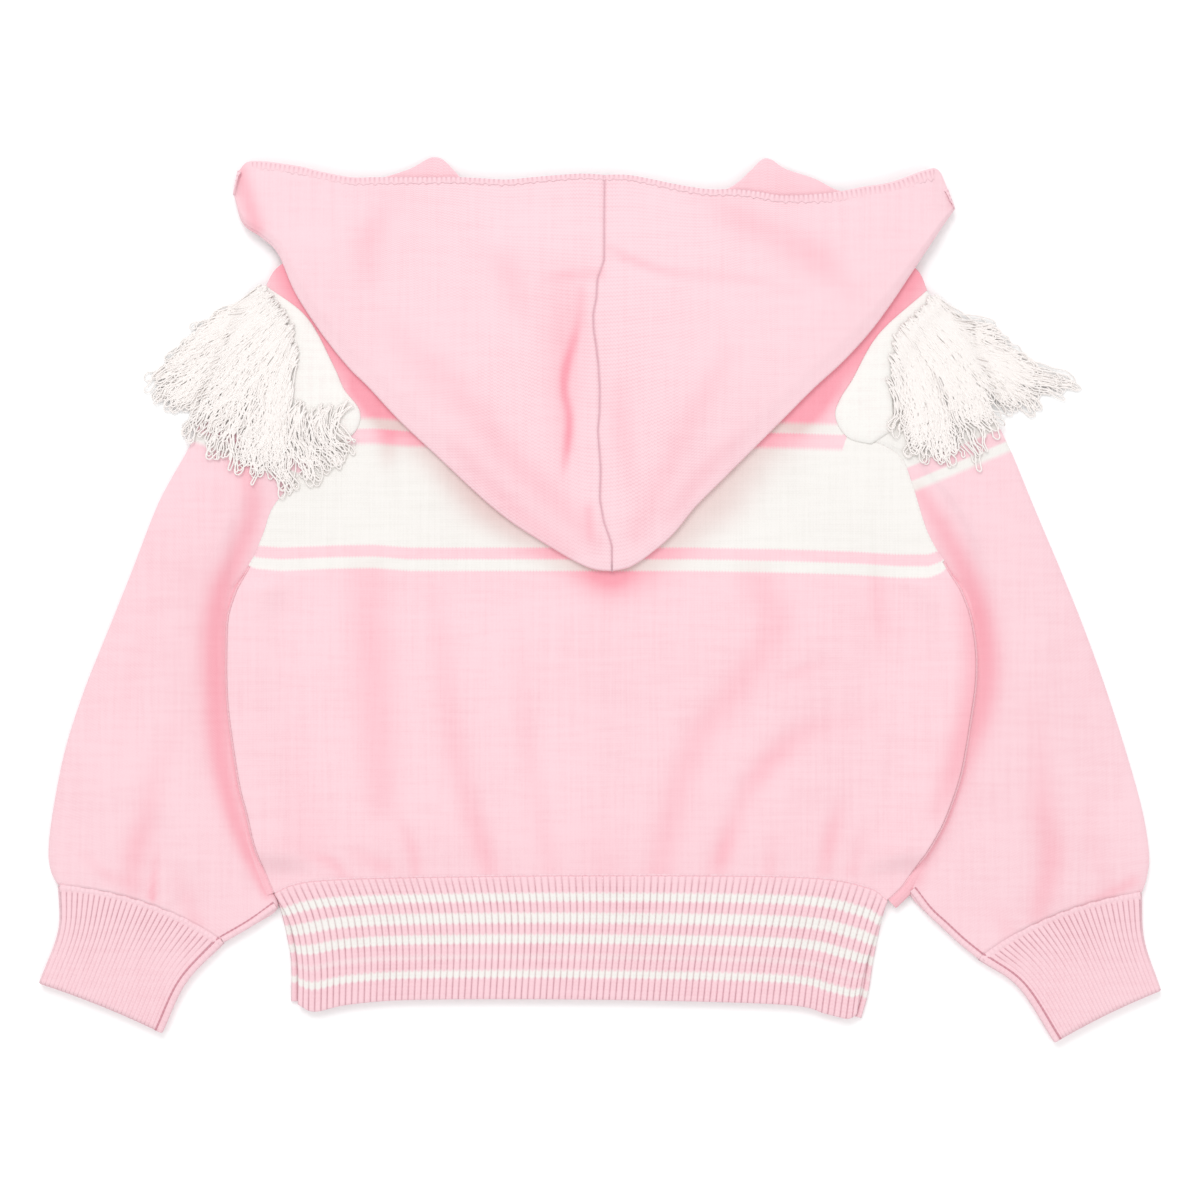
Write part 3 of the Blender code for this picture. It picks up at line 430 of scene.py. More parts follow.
class Finish:
    """A material and the one way in which its nodes are made."""

    def __init__(self, name):
        self.material = bpy.data.materials.new(name)
        self.material.use_nodes = True
        self.nodes = self.material.node_tree.nodes
        self.links = self.material.node_tree.links
        self.inputs = self.nodes["Principled BSDF"].inputs

    def node(self, kind, settings, sockets):
        """A node of this kind: its settings first, then the values or the links of its sockets."""
        made = self.nodes.new(kind)
        stops = settings.pop("stops", ())
        for key, value in settings.items():
            setattr(made, key, value)
        for _ in stops[2:]:
            made.color_ramp.elements.new(1.0)
        for index, (position, grey) in enumerate(stops):
            made.color_ramp.elements[index].position = position
            made.color_ramp.elements[index].color = (grey, grey, grey, 1.0)
        for key, value in sockets.items():
            self.feed(made.inputs[key], value)
        return made

    def feed(self, socket, value):
        """Link a value to a socket, or write a number or colour there."""
        value = value.socket if isinstance(value, Term) else value
        if isinstance(value, bpy.types.NodeSocket):
            self.links.new(value, socket)
        else:
            socket.default_value = value

    def mark(self, name):
        """A mark of the piece as a value."""
        return Term(self, self.node("ShaderNodeAttribute", {"attribute_name": name}, {}).outputs["Fac"])

    def noise(self, scale, detail=2.0, stretch=(1.0, 1.0, 1.0)):
        """Noise over the object, about its mean of a half, stretched where it is given."""
        place = self.node("ShaderNodeTexCoord", {}, {}).outputs["Object"]
        spread = self.node("ShaderNodeVectorMath", {"operation": "MULTIPLY"}, {0: place, 1: stretch})
        sockets = {"Vector": spread.outputs[0], "Scale": scale, "Detail": detail}
        made = self.node("ShaderNodeTexNoise", {}, sockets)
        return Term(self, made.outputs["Fac"])

    def mix(self, factor, first, second, blend="MIX"):
        """A colour between two colours."""
        settings = {"data_type": "RGBA", "blend_type": blend}
        return self.node("ShaderNodeMix", settings, {0: factor, 6: first, 7: second}).outputs[2]

    def surface(self, colour, roughness, specular, sheen):
        """Write the colour and how the surface takes light."""
        self.feed(self.inputs["Base Color"], colour)
        self.inputs["Roughness"].default_value = roughness
        self.inputs["Specular IOR Level"].default_value = specular
        self.inputs["Sheen Weight"].default_value = sheen
        self.inputs["Sheen Roughness"].default_value = SHEEN_ROUGHNESS


LIGHT_LEVEL = 1.13  # light on a flat surface, so a colour of the photo is divided by it
SRGB_KNEE, SRGB_SLOPE, SRGB_LIFT, SRGB_POWER = 0.04045, 12.92, 0.055, 2.4


def linear(*srgb):
    """An sRGB colour from 0 to 255 as it should look: divided by the slope below the knee, else a
    power, and then divided by the light."""
    share = np.array(srgb) / 255.0
    curved = ((share + SRGB_LIFT) / (1 + SRGB_LIFT)) ** SRGB_POWER
    light = np.where(share <= SRGB_KNEE, share / SRGB_SLOPE, curved)
    return (*(light / LIGHT_LEVEL).tolist(), 1.0)


print("pink as linear light:", np.round(linear(252, 211, 219), 3))

# %% Knitted finish
# The second pink and the second white are painted shade: the shade mark mixes them in, in valleys, in creases
# and beside the hood.
PINK, PINK_SHADED, RIB_PINK = linear(254, 219, 226), linear(251, 168, 182), linear(253, 217, 224)
WHITE, WHITE_SHADED = linear(250, 248, 244), linear(234, 208, 205)
SHADE_AND_MOTTLE_TINT, SHADE_AND_MOTTLE_TINT_WHITE = (0.76, 0.31, 0.38, 1.0), (0.61, 0.58, 0.55, 1.0)  # painted shade between two wales, and random mottle, as factors on the colour
# painted shade in the grooves between ribs, in pink and in white, and the dark of seam lines, which also
# paints the shade between linking stitches
GROOVE_SHADE, GROOVE_SHADE_WHITE, SEAM_DARK = linear(208, 155, 167), linear(226, 200, 202), linear(222, 180, 190)
WALE, COURSE = 1.3, 1.0  # mm: one stitch of the plain knit
STITCH_HEIGHT, BUMP_STRENGTH, FUZZ_BUMP = 0.00004, 0.7, 0.5  # metres, then shares
FUZZ_SCALE, MOTTLE_SCALE = 1500.0, 14.0  # repeats a metre
STREAKS = {"courses": (50.0, 500.0, 50.0), "wales": (800.0, 30.0, 50.0)}  # repeats a metre in x, y, z
COURSE_TO_RAMP = 0.004  # a ramp's positions are shares, so courses in mm are scaled to them
RAMP_MIDDLE = 0.5
BAND_SOFT = 0.3  # mm over which a band's edge changes colour
ZIGZAG = 1.6  # how far a band's edge follows the Vs, times that
LOOP_SWELL = 0.6  # share of a loop's height that swells with the courses
PATCHES, PATCH_LESS = 1.8, 0.3  # how much the stitches' shade differs from place to place
FUZZ_SHADE, MOTTLE_SHADE, STREAK_SHADE = 0.12, 0.08, 0.2  # depth of the fibres', patches' and streaks' shade
SWELL_MEAN = 0.7  # the mean of how far a loop has swelled


def band_stops(bands, soft):
    """Ramp stops that are white inside each band of courses and black outside."""
    stops = [(0.0, 0.0)]
    for low, high, white in sorted(bands):
        edges = ((low - soft, 0.0), (low + soft, white), (high - soft, white), (high + soft, 0.0))
        stops += [(RAMP_MIDDLE + COURSE_TO_RAMP * place, grey) for place, grey in edges]
    return stops


# the deep colour is painted shade, which the shade mark mixes into the ground
def knit(name, ground=PINK, deep=PINK_SHADED, bands=(), soft=BAND_SOFT, wale_shade=0.16, thread=SEAM_DARK,
         thread_white=SEAM_DARK, uneven=0.0, course_shade=0.05):
    """A knitted finish. With a the distance from a wale's middle line as a share, a leg of the V is
    1 - (2a - 1)^2 high, and it swells along the course count plus half of a."""
    finish = Finish(name)
    stitches = finish.node("ShaderNodeUVMap", {"uv_map": "stitches"}, {}).outputs[0]
    split = finish.node("ShaderNodeSeparateXYZ", {}, {0: stitches})
    wale, course = Term(finish, split.outputs[0]), Term(finish, split.outputs[1])
    off_middle = abs(wale.fraction() - 0.5) * 2
    leg = 1 - (off_middle * 2 - 1) ** 2
    swell = 1 - (((course + off_middle * 0.5).fraction()) * 2 - 1) ** 2
    loop = leg * (swell * LOOP_SWELL + (1 - LOOP_SWELL))

    patches = finish.noise(MOTTLE_SCALE)
    fuzz = finish.noise(FUZZ_SCALE, 1.0)
    streaks = finish.noise(1.0, 2.0, STREAKS["courses"]) + finish.noise(1.0, 2.0, STREAKS["wales"])
    colour = finish.mix(finish.mark("shade"), ground, deep)
    shade_and_mottle_tint = SHADE_AND_MOTTLE_TINT
    if bands:
        zigzag = finish.mark("course") + (off_middle - 0.5) * (soft * ZIGZAG)
        place = {"Fac": zigzag * COURSE_TO_RAMP + RAMP_MIDDLE}
        ramp = finish.node("ShaderNodeValToRGB", {"stops": band_stops(bands, soft)}, place).outputs[0]
        colour = finish.mix(ramp, colour, finish.mix(finish.mark("shade"), WHITE, WHITE_SHADED))
        shade_and_mottle_tint = finish.mix(ramp, SHADE_AND_MOTTLE_TINT, SHADE_AND_MOTTLE_TINT_WHITE)
        thread = finish.mix(ramp, thread, thread_white)
    # painted shade between the wales and between the courses, with random mottle, fibres and streaks
    stitch_shade_and_mottle = (1 - loop) * wale_shade * (patches * PATCHES - PATCH_LESS) + (fuzz - 0.5) * FUZZ_SHADE
    stitch_shade_and_mottle = stitch_shade_and_mottle + (patches - 0.5) * MOTTLE_SHADE + (streaks - 1.0) * STREAK_SHADE
    stitch_shade_and_mottle = stitch_shade_and_mottle + (SWELL_MEAN - swell) * course_shade * patches * 2
    colour = finish.mix(stitch_shade_and_mottle, colour, shade_and_mottle_tint, "MULTIPLY")
    # dark seam lines, and painted shade in the grooves between ribs and between linking stitches
    thin = finish.mark("thread") * (1 - uneven + (streaks - 0.5) * (2 * uneven))
    bump = finish.node("ShaderNodeBump", {}, {"Height": loop + fuzz * FUZZ_BUMP, "Distance": STITCH_HEIGHT,
                                              "Strength": BUMP_STRENGTH})
    finish.feed(finish.inputs["Normal"], bump.outputs[0])
    finish.surface(finish.mix(thin, colour, thread), roughness=0.92, specular=0.15, sheen=0.12)
    return finish.material


def dress(piece, finish, slot, *nodes):
    """Give a piece its finish and let it stand for its nodes, whose solids are hidden; the slot is not used.
    """
    piece.data.materials.append(finish)
    if nodes:
        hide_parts(*nodes)
    size = np.ptp(np.array(piece.bound_box), axis=0) / MM
    print(piece.name, size.round(1).tolist(), "mm,", len(piece.data.polygons), "faces")
    return piece


print("a stitch is", WALE, "by", COURSE, "mm")

# %% [markdown]
# ## The body
# The back is one panel from the hem's rib up to the shoulders. Its surface is spanned between
# its four edges: straight rows from side to side, plus the shapes of the bottom and the top,
# which fade with a high power of the way to the other end. Its sides climb onto the tucked
# sleeves, and the loose lower half stands off the fronts with a few soft folds. Across the chest
# run a wide white band and two thin ones.

# %% Back panel
BODY_COLUMNS, BODY_ROWS = 160, (72, 76)
BODY_WIDTH, SIDE_LENGTH, ARM_LENGTH = 300.0, 137.0, 145.0  # mm that its rows and columns run over
END_FADE = 6  # power with which the end's shapes fade
BODY_SWELL = 1.1  # mm that the loose lower half stands off, and where
SWELL_Y = ((-118.0, -100.0), (-22.0, 4.0))
SWELL_X = ((-150.0, -118.0), (112.0, 146.0))
# creases of the body, which lower the back and are painted in shade, row by row: x, y, half width, depth of
# shade
BODY_CREASES_AND_SHADE = (
    ((-98, 10, 7, 0.12), (-96, -20, 7.5, 0.17), (-94, -50, 7.5, 0.16), (-92, -81, 6, 0.13),
     (-91, -94, 5, 0.02)),
    ((-70, 4, 4, 0.04), (-66, -20, 4.5, 0.08), (-63, -51, 5, 0.12), (-57, -78, 4.5, 0.13),
     (-49, -105, 4, 0.18), (-46, -117, 4, 0.1)),
    ((-34, -14, 4, 0.02), (-31, -57, 4, 0.08), (-27, -81, 4, 0.07), (-21, -112, 4, 0.08)),
    ((65, 10, 6, 0.12), (73, -11, 6.5, 0.14), (56, -38, 6, 0.14), (42, -57, 6, 0.14), (32, -81, 5.5, 0.14),
     (25, -114, 5, 0.13)),
    ((113, -49, 5, 0.04), (88, -54, 5, 0.1), (70, -69, 4.5, 0.2), (58, -87, 4, 0.1), (52, -105, 3.5, 0.23),
     (49, -115, 3.5, 0.12)),
    ((102, -81, 3, 0.02), (97, -99, 3, 0.17), (94, -114, 2.5, 0.12)),
    ((116, 10, 3.5, 0.08), (117, -5, 3.5, 0.1), (119, -23, 3.5, 0.01)),
    ((95, -26, 2.6, 0.03), (84, -30, 2.6, 0.1), (74, -34, 2.6, 0.03)),
    ((-123, -107, 2, 0.04), (-113, -110, 2.2, 0.15), (-107, -117, 2, 0.1)),
    ((-85, -90, 2.5, 0.03), (-79, -104, 2.5, 0.13), (-77, -116, 2.2, 0.1)),
    ((-103, -106, 3, 0.06), (-91, -112, 3, 0.12)), ((73, -97, 3, 0.03), (71, -114, 2.5, 0.1)),
    ((110, -98, 3, 0.03), (106, -113, 2.5, 0.1)), ((-128, -60, 6, 0.03), (-124, -100, 8, 0.06)),
    ((0, -90, 9, 0.02), (2, -112, 7, 0.06)),
    ((-103, 88, 3, 0.25), (-95, 81, 4.5, 0.4), (-90, 73, 4, 0.34), (-89, 64, 3.5, 0.28), (-89, 54, 3, 0.03)),
    ((97, 88, 3, 0.15), (90, 82, 4, 0.4), (85, 75, 3.5, 0.34), (82, 68, 3, 0.05)),
    ((150, 6, 3, 0.1), (155, -9, 4, 0.24), (157, -26, 4.2, 0.28), (156, -40, 4.5, 0.29),
     (153, -54, 4.8, 0.29), (149, -70, 5, 0.27), (142, -88, 4, 0.12)),
    ((-64, 50, 5, 0.08), (-51, 38, 6, 0.17), (-36, 27, 4, 0.08)),
    ((64, 48, 5, 0.06), (53, 37, 6, 0.13), (42, 28, 4, 0.05)),
)
CREASE_DROP = 5.0  # mm of height for a depth of shade of one
CREASE_WIDEN, CREASE_DEEPEN = 1.25, 1.9  # how the shade of the body's creases spreads
GATHER_PITCH, GATHER_HEIGHT, GATHER_Y = 5.2, 0.16, ((-122.0, -117.0), (-112.0, -98.0))  # above the rib
# white bands of the back, in mm up the chest, and how white they are
BODY_BANDS = ((12.4, 17.2, 1.0), (22.1, 64.5, 1.0), (70.8, 75.2, 1.0))
# how much lower a course lies than in the middle: x, mm
COURSE_BEND = ((-150, -3.0), (-144, -0.8), (-134, 0.0), (-112, -0.9), (-95, -1.2), (-80, 0.0), (40, 0.0),
               (80, 0.8), (105, 1.6), (126, 2.9), (138, 2.9), (143, 1.0), (148, -3.0))
# the upper pink stripe runs out into the white before the armholes: mm from the centre, and how
STRIPE_ENDS = {"left": (106.0, 107.5), "right": (102.5, 104.0)}
STRIPE_FROM, STRIPE_DROP = (52.0, 60.0), 9.0
HOOD_SHADE = {"left": (7.5, 0.9), "right": (11.0, 1.0)}  # mm that the hood's shade reaches, its depth
HOOD_SHADE_LOW, HOOD_SHADE_Y = 0.7, (62, 78)  # its share at the hood's tip, and where it grows to one
BASE_SHADE, GATHER_SHADE, GATHER_SHADE_Y = 0.06, 0.05, (-116, -80)
FOLD_LINE_STEPS = 60


def side_edge(side, where):
    """The body's side edge from the hem to the underarm."""
    return along([(x, y) for y, x, _ in SIDE[side]], where)


def patch(bottom, top, left, right, columns, rows, fade=END_FADE):
    """Straight rows between the sides, plus the shapes of the bottom and the top edge, which fade
    with a power of the way to the other end."""
    s, r = np.asarray(columns)[None, :, None], np.asarray(rows)[:, None, None]
    across = (1 - s) * left[:, None] + s * right[:, None]
    low, high = (edge[None] - (1 - s) * edge[0] - s * edge[-1] for edge in (bottom, top))
    return across + (1 - r) ** fade * low + r**fade * high


def body_plan(columns, rows_low, rows_high):
    """Plan of the whole back. The rows are shares of the side edge and then of the armhole."""
    sides = [np.vstack((side_edge(side, rows_low), along(ARMHOLE[side], rows_high)[1:])) for side in HANDS]
    rows = np.concatenate((0.5 * rows_low, 0.5 + 0.5 * rows_high[1:]))
    return patch(along(HEM_SEAM, columns), along(BACK_TOP, columns), *sides, columns, rows)


def lift(plan):
    """How far the body is lifted where its sides lie on the sleeves."""
    x, y = plan[..., 0], plan[..., 1]
    rise = np.zeros_like(x)
    for side, hand in HANDS.items():
        rows = np.array(SIDE[side], float)
        inwards = -hand * (x - np.interp(y, rows[:, 0], rows[:, 1]))
        rise = np.maximum(rise, 1.0 - smoothstep(inwards, LIFT_FLAT, LIFT_FLAT + LIFT_SLOPE))
    return LIFT * rise * window(y, LIFT_SPAN)


def back_height(plan):
    """Underside of the back: over the front, lifted, standing off in its loose lower part with its
    folds, and gathered above the rib."""
    x, y = plan[..., 0], plan[..., 1]
    room = window(y, SWELL_Y) * window(x, SWELL_X)
    folds = CREASE_DROP * creases(plan, BODY_CREASES_AND_SHADE, CREASE_WIDEN)
    gather = GATHER_HEIGHT * np.sin(2 * np.pi * x / GATHER_PITCH) * window(y, GATHER_Y)
    return WALL + PLY + lift(plan) + np.maximum(room * (BODY_SWELL - folds), 0.0) + gather


def back_marks(plan):
    """The course that each point was knitted in, and its painted shade: in creases, beside the hood's fold
    and above the rib.
    """
    x, y = plan[..., 0], plan[..., 1]
    shade = BASE_SHADE + CREASE_DEEPEN * creases(plan, BODY_CREASES_AND_SHADE, CREASE_WIDEN)
    # painted shadow beside the hood's folded edge
    for side, (reach, depth) in HOOD_SHADE.items():
        fold = along([row[2:4] for row in HOOD[side]], FOLD_LINE_STEPS)
        by_hood = depth * np.exp(-((nearest(plan, fold)[0] / reach) ** 2))
        shade += by_hood * ((1 - HOOD_SHADE_LOW) * smoothstep(y, *HOOD_SHADE_Y) + HOOD_SHADE_LOW)
    shade += GATHER_SHADE * (1 - smoothstep(y, *GATHER_SHADE_Y))
    by_armhole = smoothstep(-x, *STRIPE_ENDS["left"]) + smoothstep(x, *STRIPE_ENDS["right"])
    bend = look_up(x, COURSE_BEND) - STRIPE_DROP * by_armhole * smoothstep(y, *STRIPE_FROM)
    return {"course": y + bend, "shade": np.clip(shade, 0.0, 1.0)}


body_columns = shares_with_edges(BODY_COLUMNS, BODY_WIDTH)
rows_low = shares_with_edges(BODY_ROWS[0], SIDE_LENGTH)
rows_low = np.append(rows_low[rows_low <= 1 - CLOSE[-1] / SIDE_LENGTH], 1.0)
rows_high = shares_with_edges(BODY_ROWS[1], ARM_LENGTH)
rows_high = np.append(0.0, rows_high[rows_high >= CLOSE[-1] / ARM_LENGTH])
plan = body_plan(body_columns, rows_low, rows_high)
back = flat_shell("back_panel", plan, back_height(plan), plan / (WALE, COURSE), **back_marks(plan))
back_knit = knit("pink knit with chest bands", bands=BODY_BANDS)
dress(back, back_knit, "pink_knit", "back")

# %% [markdown]
# ## The fronts
# The fronts lie under the back and are hidden from above. They are cut from the back's own plan
# as far as the centre line, with a lower neck, and they need fewer points, because nobody sees
# more of them than their edges and their flat underside.

# %% Front panels
FRONT_COLUMNS, FRONT_ROWS, FRONT_SHADE = 44, 50, 0.25
NECK_FROM = 0.6  # share of the rows from which the neck is lowered
fronts = []
half = np.append(shares_with_edges(2 * FRONT_COLUMNS, BODY_WIDTH)[:FRONT_COLUMNS + len(CLOSE) - 1], 0.5)
front_rows = np.linspace(0.0, 1.0, FRONT_ROWS)
whole_plan = body_plan(np.concatenate((half, 1 - half[-2::-1])), front_rows, front_rows)
neck = smoothstep(np.linspace(0.0, 1.0, len(whole_plan)), NECK_FROM, 1.0)[:, None]
whole_plan[..., 1] -= neck * look_up(np.abs(whole_plan[..., 0]), NECK_DROP)
for side, hand in HANDS.items():
    plan = (whole_plan[:, :len(half)] if side == "left" else whole_plan[:, -len(half):]).copy()
    plan[:, -1 if side == "left" else 0, 0] = hand * CENTRE_GAP
    front = flat_shell("front_panel_" + side, plan, lift(plan), plan / (WALE, COURSE), course=plan[..., 1],
                       shade=FRONT_SHADE)
    fronts.append(dress(front, back_knit, "pink_knit", "front_" + side))

# %% [markdown]
# ## The hem
# The hem is a 1x1 rib: raised wales with narrow grooves between them. The ribs are real form
# here, 90 of them on the back. Across a rib the height is one minus a high power of the
# distance from its middle, so the top is broad and the groove narrow. Four white stripes follow
# the courses, and a fainter one lies between the last two. The fronts' rib peeps out beyond the
# left edge.

# %% Hem ribs
HEM_RIBS, RIB_POINTS, RIB_HEIGHT = 90, 8, 0.75
GROOVE_POWER = 4
HEM_ROWS, HEM_COURSES, HEM_LENGTH, SEAM_STEPS = 22, 44, 52.0, 800
GROOVE_SINK = 0.4  # share of the rib height by which the grooves lie under the wall's top
# white bands of the rib, as shares of the way down from the seam, times 100
HEM_BANDS = ((14.4, 21.8, 1.0), (31.0, 39.6, 1.0), (48.4, 55.8, 1.0), (64.2, 68.6, 0.35), (76.8, 82.8, 1.0))
HEM_SOFT, RIB_SHADE, RIB_UNEVEN = 0.9, 0.12, 0.5
HEM_GROOVE_SHADE, HEM_GROOVE_LEAST = 0.75, 0.2  # depth of the painted shade in the grooves, and its share at the seam
HEM_GROOVE_START = (1.0, 12.0)  # over which part below the seam the painted groove shade grows


def rib_wave(count):
    """Shares across a band of ribs, and at each the height of the rib and the depth of shade."""
    shares = np.linspace(0.0, 1.0, count * RIB_POINTS + 1)
    from_middle = np.abs(2 * ((shares * count) % 1.0) - 1)
    return shares, 1 - from_middle**GROOVE_POWER, from_middle ** (2 * GROOVE_POWER)


hem_knit = knit("pink rib with white bands", ground=RIB_PINK, bands=HEM_BANDS, soft=HEM_SOFT, thread=GROOVE_SHADE,
                thread_white=GROOVE_SHADE_WHITE, wale_shade=RIB_SHADE, uneven=RIB_UNEVEN)


def hem_rib(name, bottom, top, left, right, low, node):
    """The shell of a rib between its four edges, a seam's width below the panel. Its ribs are
    raised on its upper side, and its courses are counted down from the seam in hundredths."""
    ribs = len(bottom) // RIB_POINTS
    shares, high, groove = rib_wave(ribs)
    rows = shares_with_edges(HEM_ROWS, HEM_LENGTH)
    sides = [along(edge, rows) - np.outer(rows, (0, SEAM)) for edge in (left, right)]
    plan = patch(bottom, top - (0, SEAM), *sides, shares, rows, 1)
    stitches = pairs(np.linspace(0, ribs, plan.shape[1]), np.linspace(0, HEM_COURSES, plan.shape[0])[:, None])
    down = 100 * (1 - rows)[:, None]
    dark = HEM_GROOVE_LEAST + (1 - HEM_GROOVE_LEAST) * smoothstep(down, *HEM_GROOVE_START)
    piece = flat_shell(name, plan, low, stitches, RIB_HEIGHT * (high - GROOVE_SINK), course=down,
                       shade=BASE_SHADE, thread=HEM_GROOVE_SHADE * dark * groove)
    return dress(piece, hem_knit, "pink_rib", node)


def front_half(curve, side):
    """The half of a left-to-right curve on one side of the centre line, read from left to right."""
    fine = along(curve, SEAM_STEPS)
    half = fine[HANDS[side] * fine[:, 0] > CENTRE_GAP]
    return read(np.linspace(0, len(half) - 1, HEM_RIBS // 2 * RIB_POINTS + 1), np.arange(len(half)), half)


rib_shares = rib_wave(HEM_RIBS)[0]
hem_back = hem_rib("hem_back_rib", along(HEM_BACK["bottom"], rib_shares), along(HEM_SEAM, rib_shares),
                   HEM_BACK["left"], HEM_BACK["right"], WALL + PLY, "hem_back")
for side in HANDS:
    bottom, top = front_half(HEM_FRONT["bottom"], side), front_half(HEM_SEAM, side)
    at_centre = -1 if side == "left" else 0
    edges = [HEM_FRONT[side], (tuple(bottom[at_centre]), tuple(top[at_centre]))]
    left, right = edges if side == "left" else edges[::-1]
    hem_rib("hem_front_rib_" + side, bottom, top, left, right, 0.0, "hem_front_" + side)

# %% [markdown]
# ## The sleeves
# Each sleeve is a balloon: a tube laid flat, narrow and bulging at the armhole, wide and full in
# the middle and gathered into the cuff. A section is a line across the sleeve, from its inner to
# its outer edge. The ring of the tube runs out along its underside and back along its top, and it
# turns over softly at both folded edges. The inner edge is tucked under the body, and the cloth
# next to the body is painted in deep pink shade, as are the sleeve's valleys and creases.

# %% Sleeves
SLEEVE_ROWS, SLEEVE_ACROSS, SLEEVE_WIDTH = 110, 40, 85.0
SLEEVE_CLOSE = (0.0, 0.12, 0.5, 1.2, 2.3)  # mm from a folded edge where the closest lines lie
EDGE_STEPS = 40
TURN_MOST = 0.4  # share of a section's width that its folded edge may round over
SLEEVE_FOLDS = (  # start x, y, end x, y, half width, height
    (-186, -92, -189, -122, 7, -1.1), (187, -98, 190, -122, 7, -1.1),
    (-178, 10, -196, -60, 12, 0.3), (176, 6, 194, -60, 12, 0.3),
    (-168, -112, -176, -134, 5, -0.6), (203, -104, 206, -124, 5, -0.5), (-206, -104, -208, -120, 5, -0.5),
)
CUFF_PLEAT, CUFF_PLEAT_HEIGHT, PLEAT_FROM = 11, 0.35, (0.86, 0.97)  # soft gathers above the cuff
# lines on which the white yarn ends, from the body outwards, and the white bands above them
SLEEVE_BAND_LINE = {"left": ((-144.9, 56.1), (-171.4, 67.0)), "right": ((131.0, 45.2), (168.0, 60.7))}
SLEEVE_BANDS = ((-52.0, -10.3, 1.0), (-4.3, 0.0, 1.0))
# painted shade, in deep pink, of the valleys and creases: x, y, half width, depth of shade
SLEEVE_CREASE_SHADE = {
    "left": (
        ((-156, 68, 4, 0.3), (-145.5, 44, 4.8, 0.45), (-151, 22, 5, 0.55), (-158.5, 6, 5.5, 0.66),
         (-161.5, -9, 5.8, 0.68), (-162, -24, 5.8, 0.7), (-161, -52, 5.4, 0.7), (-158, -75, 4.8, 0.7),
         (-151, -99, 4, 0.66), (-140, -123, 2.6, 0.6)),
        ((-176, -52, 5, 0.05), (-186, -72, 5.5, 0.12), (-190, -92, 5.5, 0.3), (-195, -106, 5.5, 0.38),
         (-197, -122, 5, 0.18)),
        ((-186, -104, 1.8, 0.1), (-188, -125, 1.8, 0.6)), ((-176, -118, 4.5, 0.1), (-170, -136, 3.5, 0.2)),
        ((-216, -108, 3, 0.1), (-206, -116, 3, 0.16), (-194, -120, 3, 0.1)),
        ((-186, 0, 5, 0.03), (-196, -30, 6, 0.06), (-200, -60, 5, 0.03)),
    ),
    "right": (
        ((134, 46, 4, 0.4), (146, 26, 5, 0.55), (157, 2, 6, 0.68), (162, -22, 6, 0.7), (160, -46, 6, 0.6),
         (151, -70, 5.5, 0.42), (142, -93, 5, 0.36), (132, -117, 4, 0.4)),
        ((180, -42, 5, 0.04), (184, -70, 5.5, 0.16), (186, -90, 6, 0.32), (189, -108, 6, 0.4),
         (184, -132, 5, 0.3)),
        ((196, -134, 3, 0.2), (210, -126, 3, 0.34), (224, -118, 2.6, 0.3)),
        ((206, -80, 5, 0.04), (206, -100, 5, 0.1), (212, -118, 4, 0.1)),
        ((166, -128, 5, 0.05), (172, -140, 3.5, 0.16)),
    ),
}


def section_line(inner, outer, bow, shares, hand):
    """Points from the inner to the outer edge, bowed towards the shoulder by 4s(1 - s)."""
    shares = np.asarray(shares)[:, None]
    chord = outer - inner
    return inner + shares * chord + bow * 4 * shares * (1 - shares) * hand * quarter(unit(chord))


def sleeve_lines(side, shares):
    """Plan of the sleeve's sections from the armhole to the cuff, and the air inside each."""
    hand = HANDS[side]
    edge = side_edge(side, EDGE_STEPS)[::-1]
    rows = np.array(SIDE[side], float)
    edge[:, 0] -= hand * np.interp(edge[:, 1], rows[:, 0], rows[:, 2])
    inner = np.vstack((edge[edge[:, 1] > SLEEVE_LEAVES[side]][::2], SLEEVE_INNER_END[side]))
    armhole = along(ARMHOLE[side], shares)
    armhole = armhole - hand * SEAM * left_of(armhole)
    inner[0] = armhole[0]
    table = spline(SLEEVE_SECTIONS, SLEEVE_ROWS)
    table[:, :2] = np.clip(table[:, :2], 0.0, 1.0)
    outer = along(np.vstack((armhole[-1:], SLEEVE_OUTER[side][1:])), table[:, 1])
    bulge = armhole - section_line(armhole[0], armhole[-1], 0.0, shares, hand)
    lines = np.stack([section_line(start, end, bow, shares, hand) + cap * bulge
                      for start, end, (cap, bow) in zip(along(inner, table[:, 0]), outer, table[:, 2:4])])
    return lines, np.maximum(table[:, 4], 0.0)


def ring(under, top):
    """Values along a tube's underside, and back along its top without the two folded edges."""
    return np.concatenate((under, top[:, -2:0:-1]), axis=1)


def tube_rings(lines, swell):
    """Outer and inner ring of a tube laid flat. From each folded edge the height follows a quarter
    circle. The ring goes out along the underside and comes back along the top, and the inner ring
    lies a wall further in."""
    width = np.linalg.norm(lines[:, -1] - lines[:, 0], axis=1)[:, None]
    turn = turned(from_ends(lines), np.minimum(FOLD_ROUND, TURN_MOST * width), 0.0)
    run = run_along(lines)
    inwards = (1 - 2 * run / run[:, -1:])[..., None]
    inset = lines + WALL * inwards * unit(np.gradient(lines, axis=1))
    middle = FLAT / 2
    return [ring(with_height(plan, middle - half * turn), with_height(plan, middle + (half + swell) * turn))
            for plan, half in ((lines, middle), (inset, middle - WALL))]


def tube_stitches(lines, shares):
    """Wales counted round the ring at its widest section, and courses along the middle line."""
    widest = run_along(lines)[:, -1].max()
    around = round(widest / WALE) * np.concatenate((shares, 2 - shares[-2::-1]))
    return pairs(around, run_along(lines[:, lines.shape[1] // 2])[:, None] / COURSE)


def sleeve_courses(plan, side):
    """Distance beyond the line on which the white yarn ends, towards the cuff."""
    start, end = np.array(SLEEVE_BAND_LINE[side])
    down = quarter(unit(end - start))
    return (plan - start) @ (down * -np.sign(down[1]))


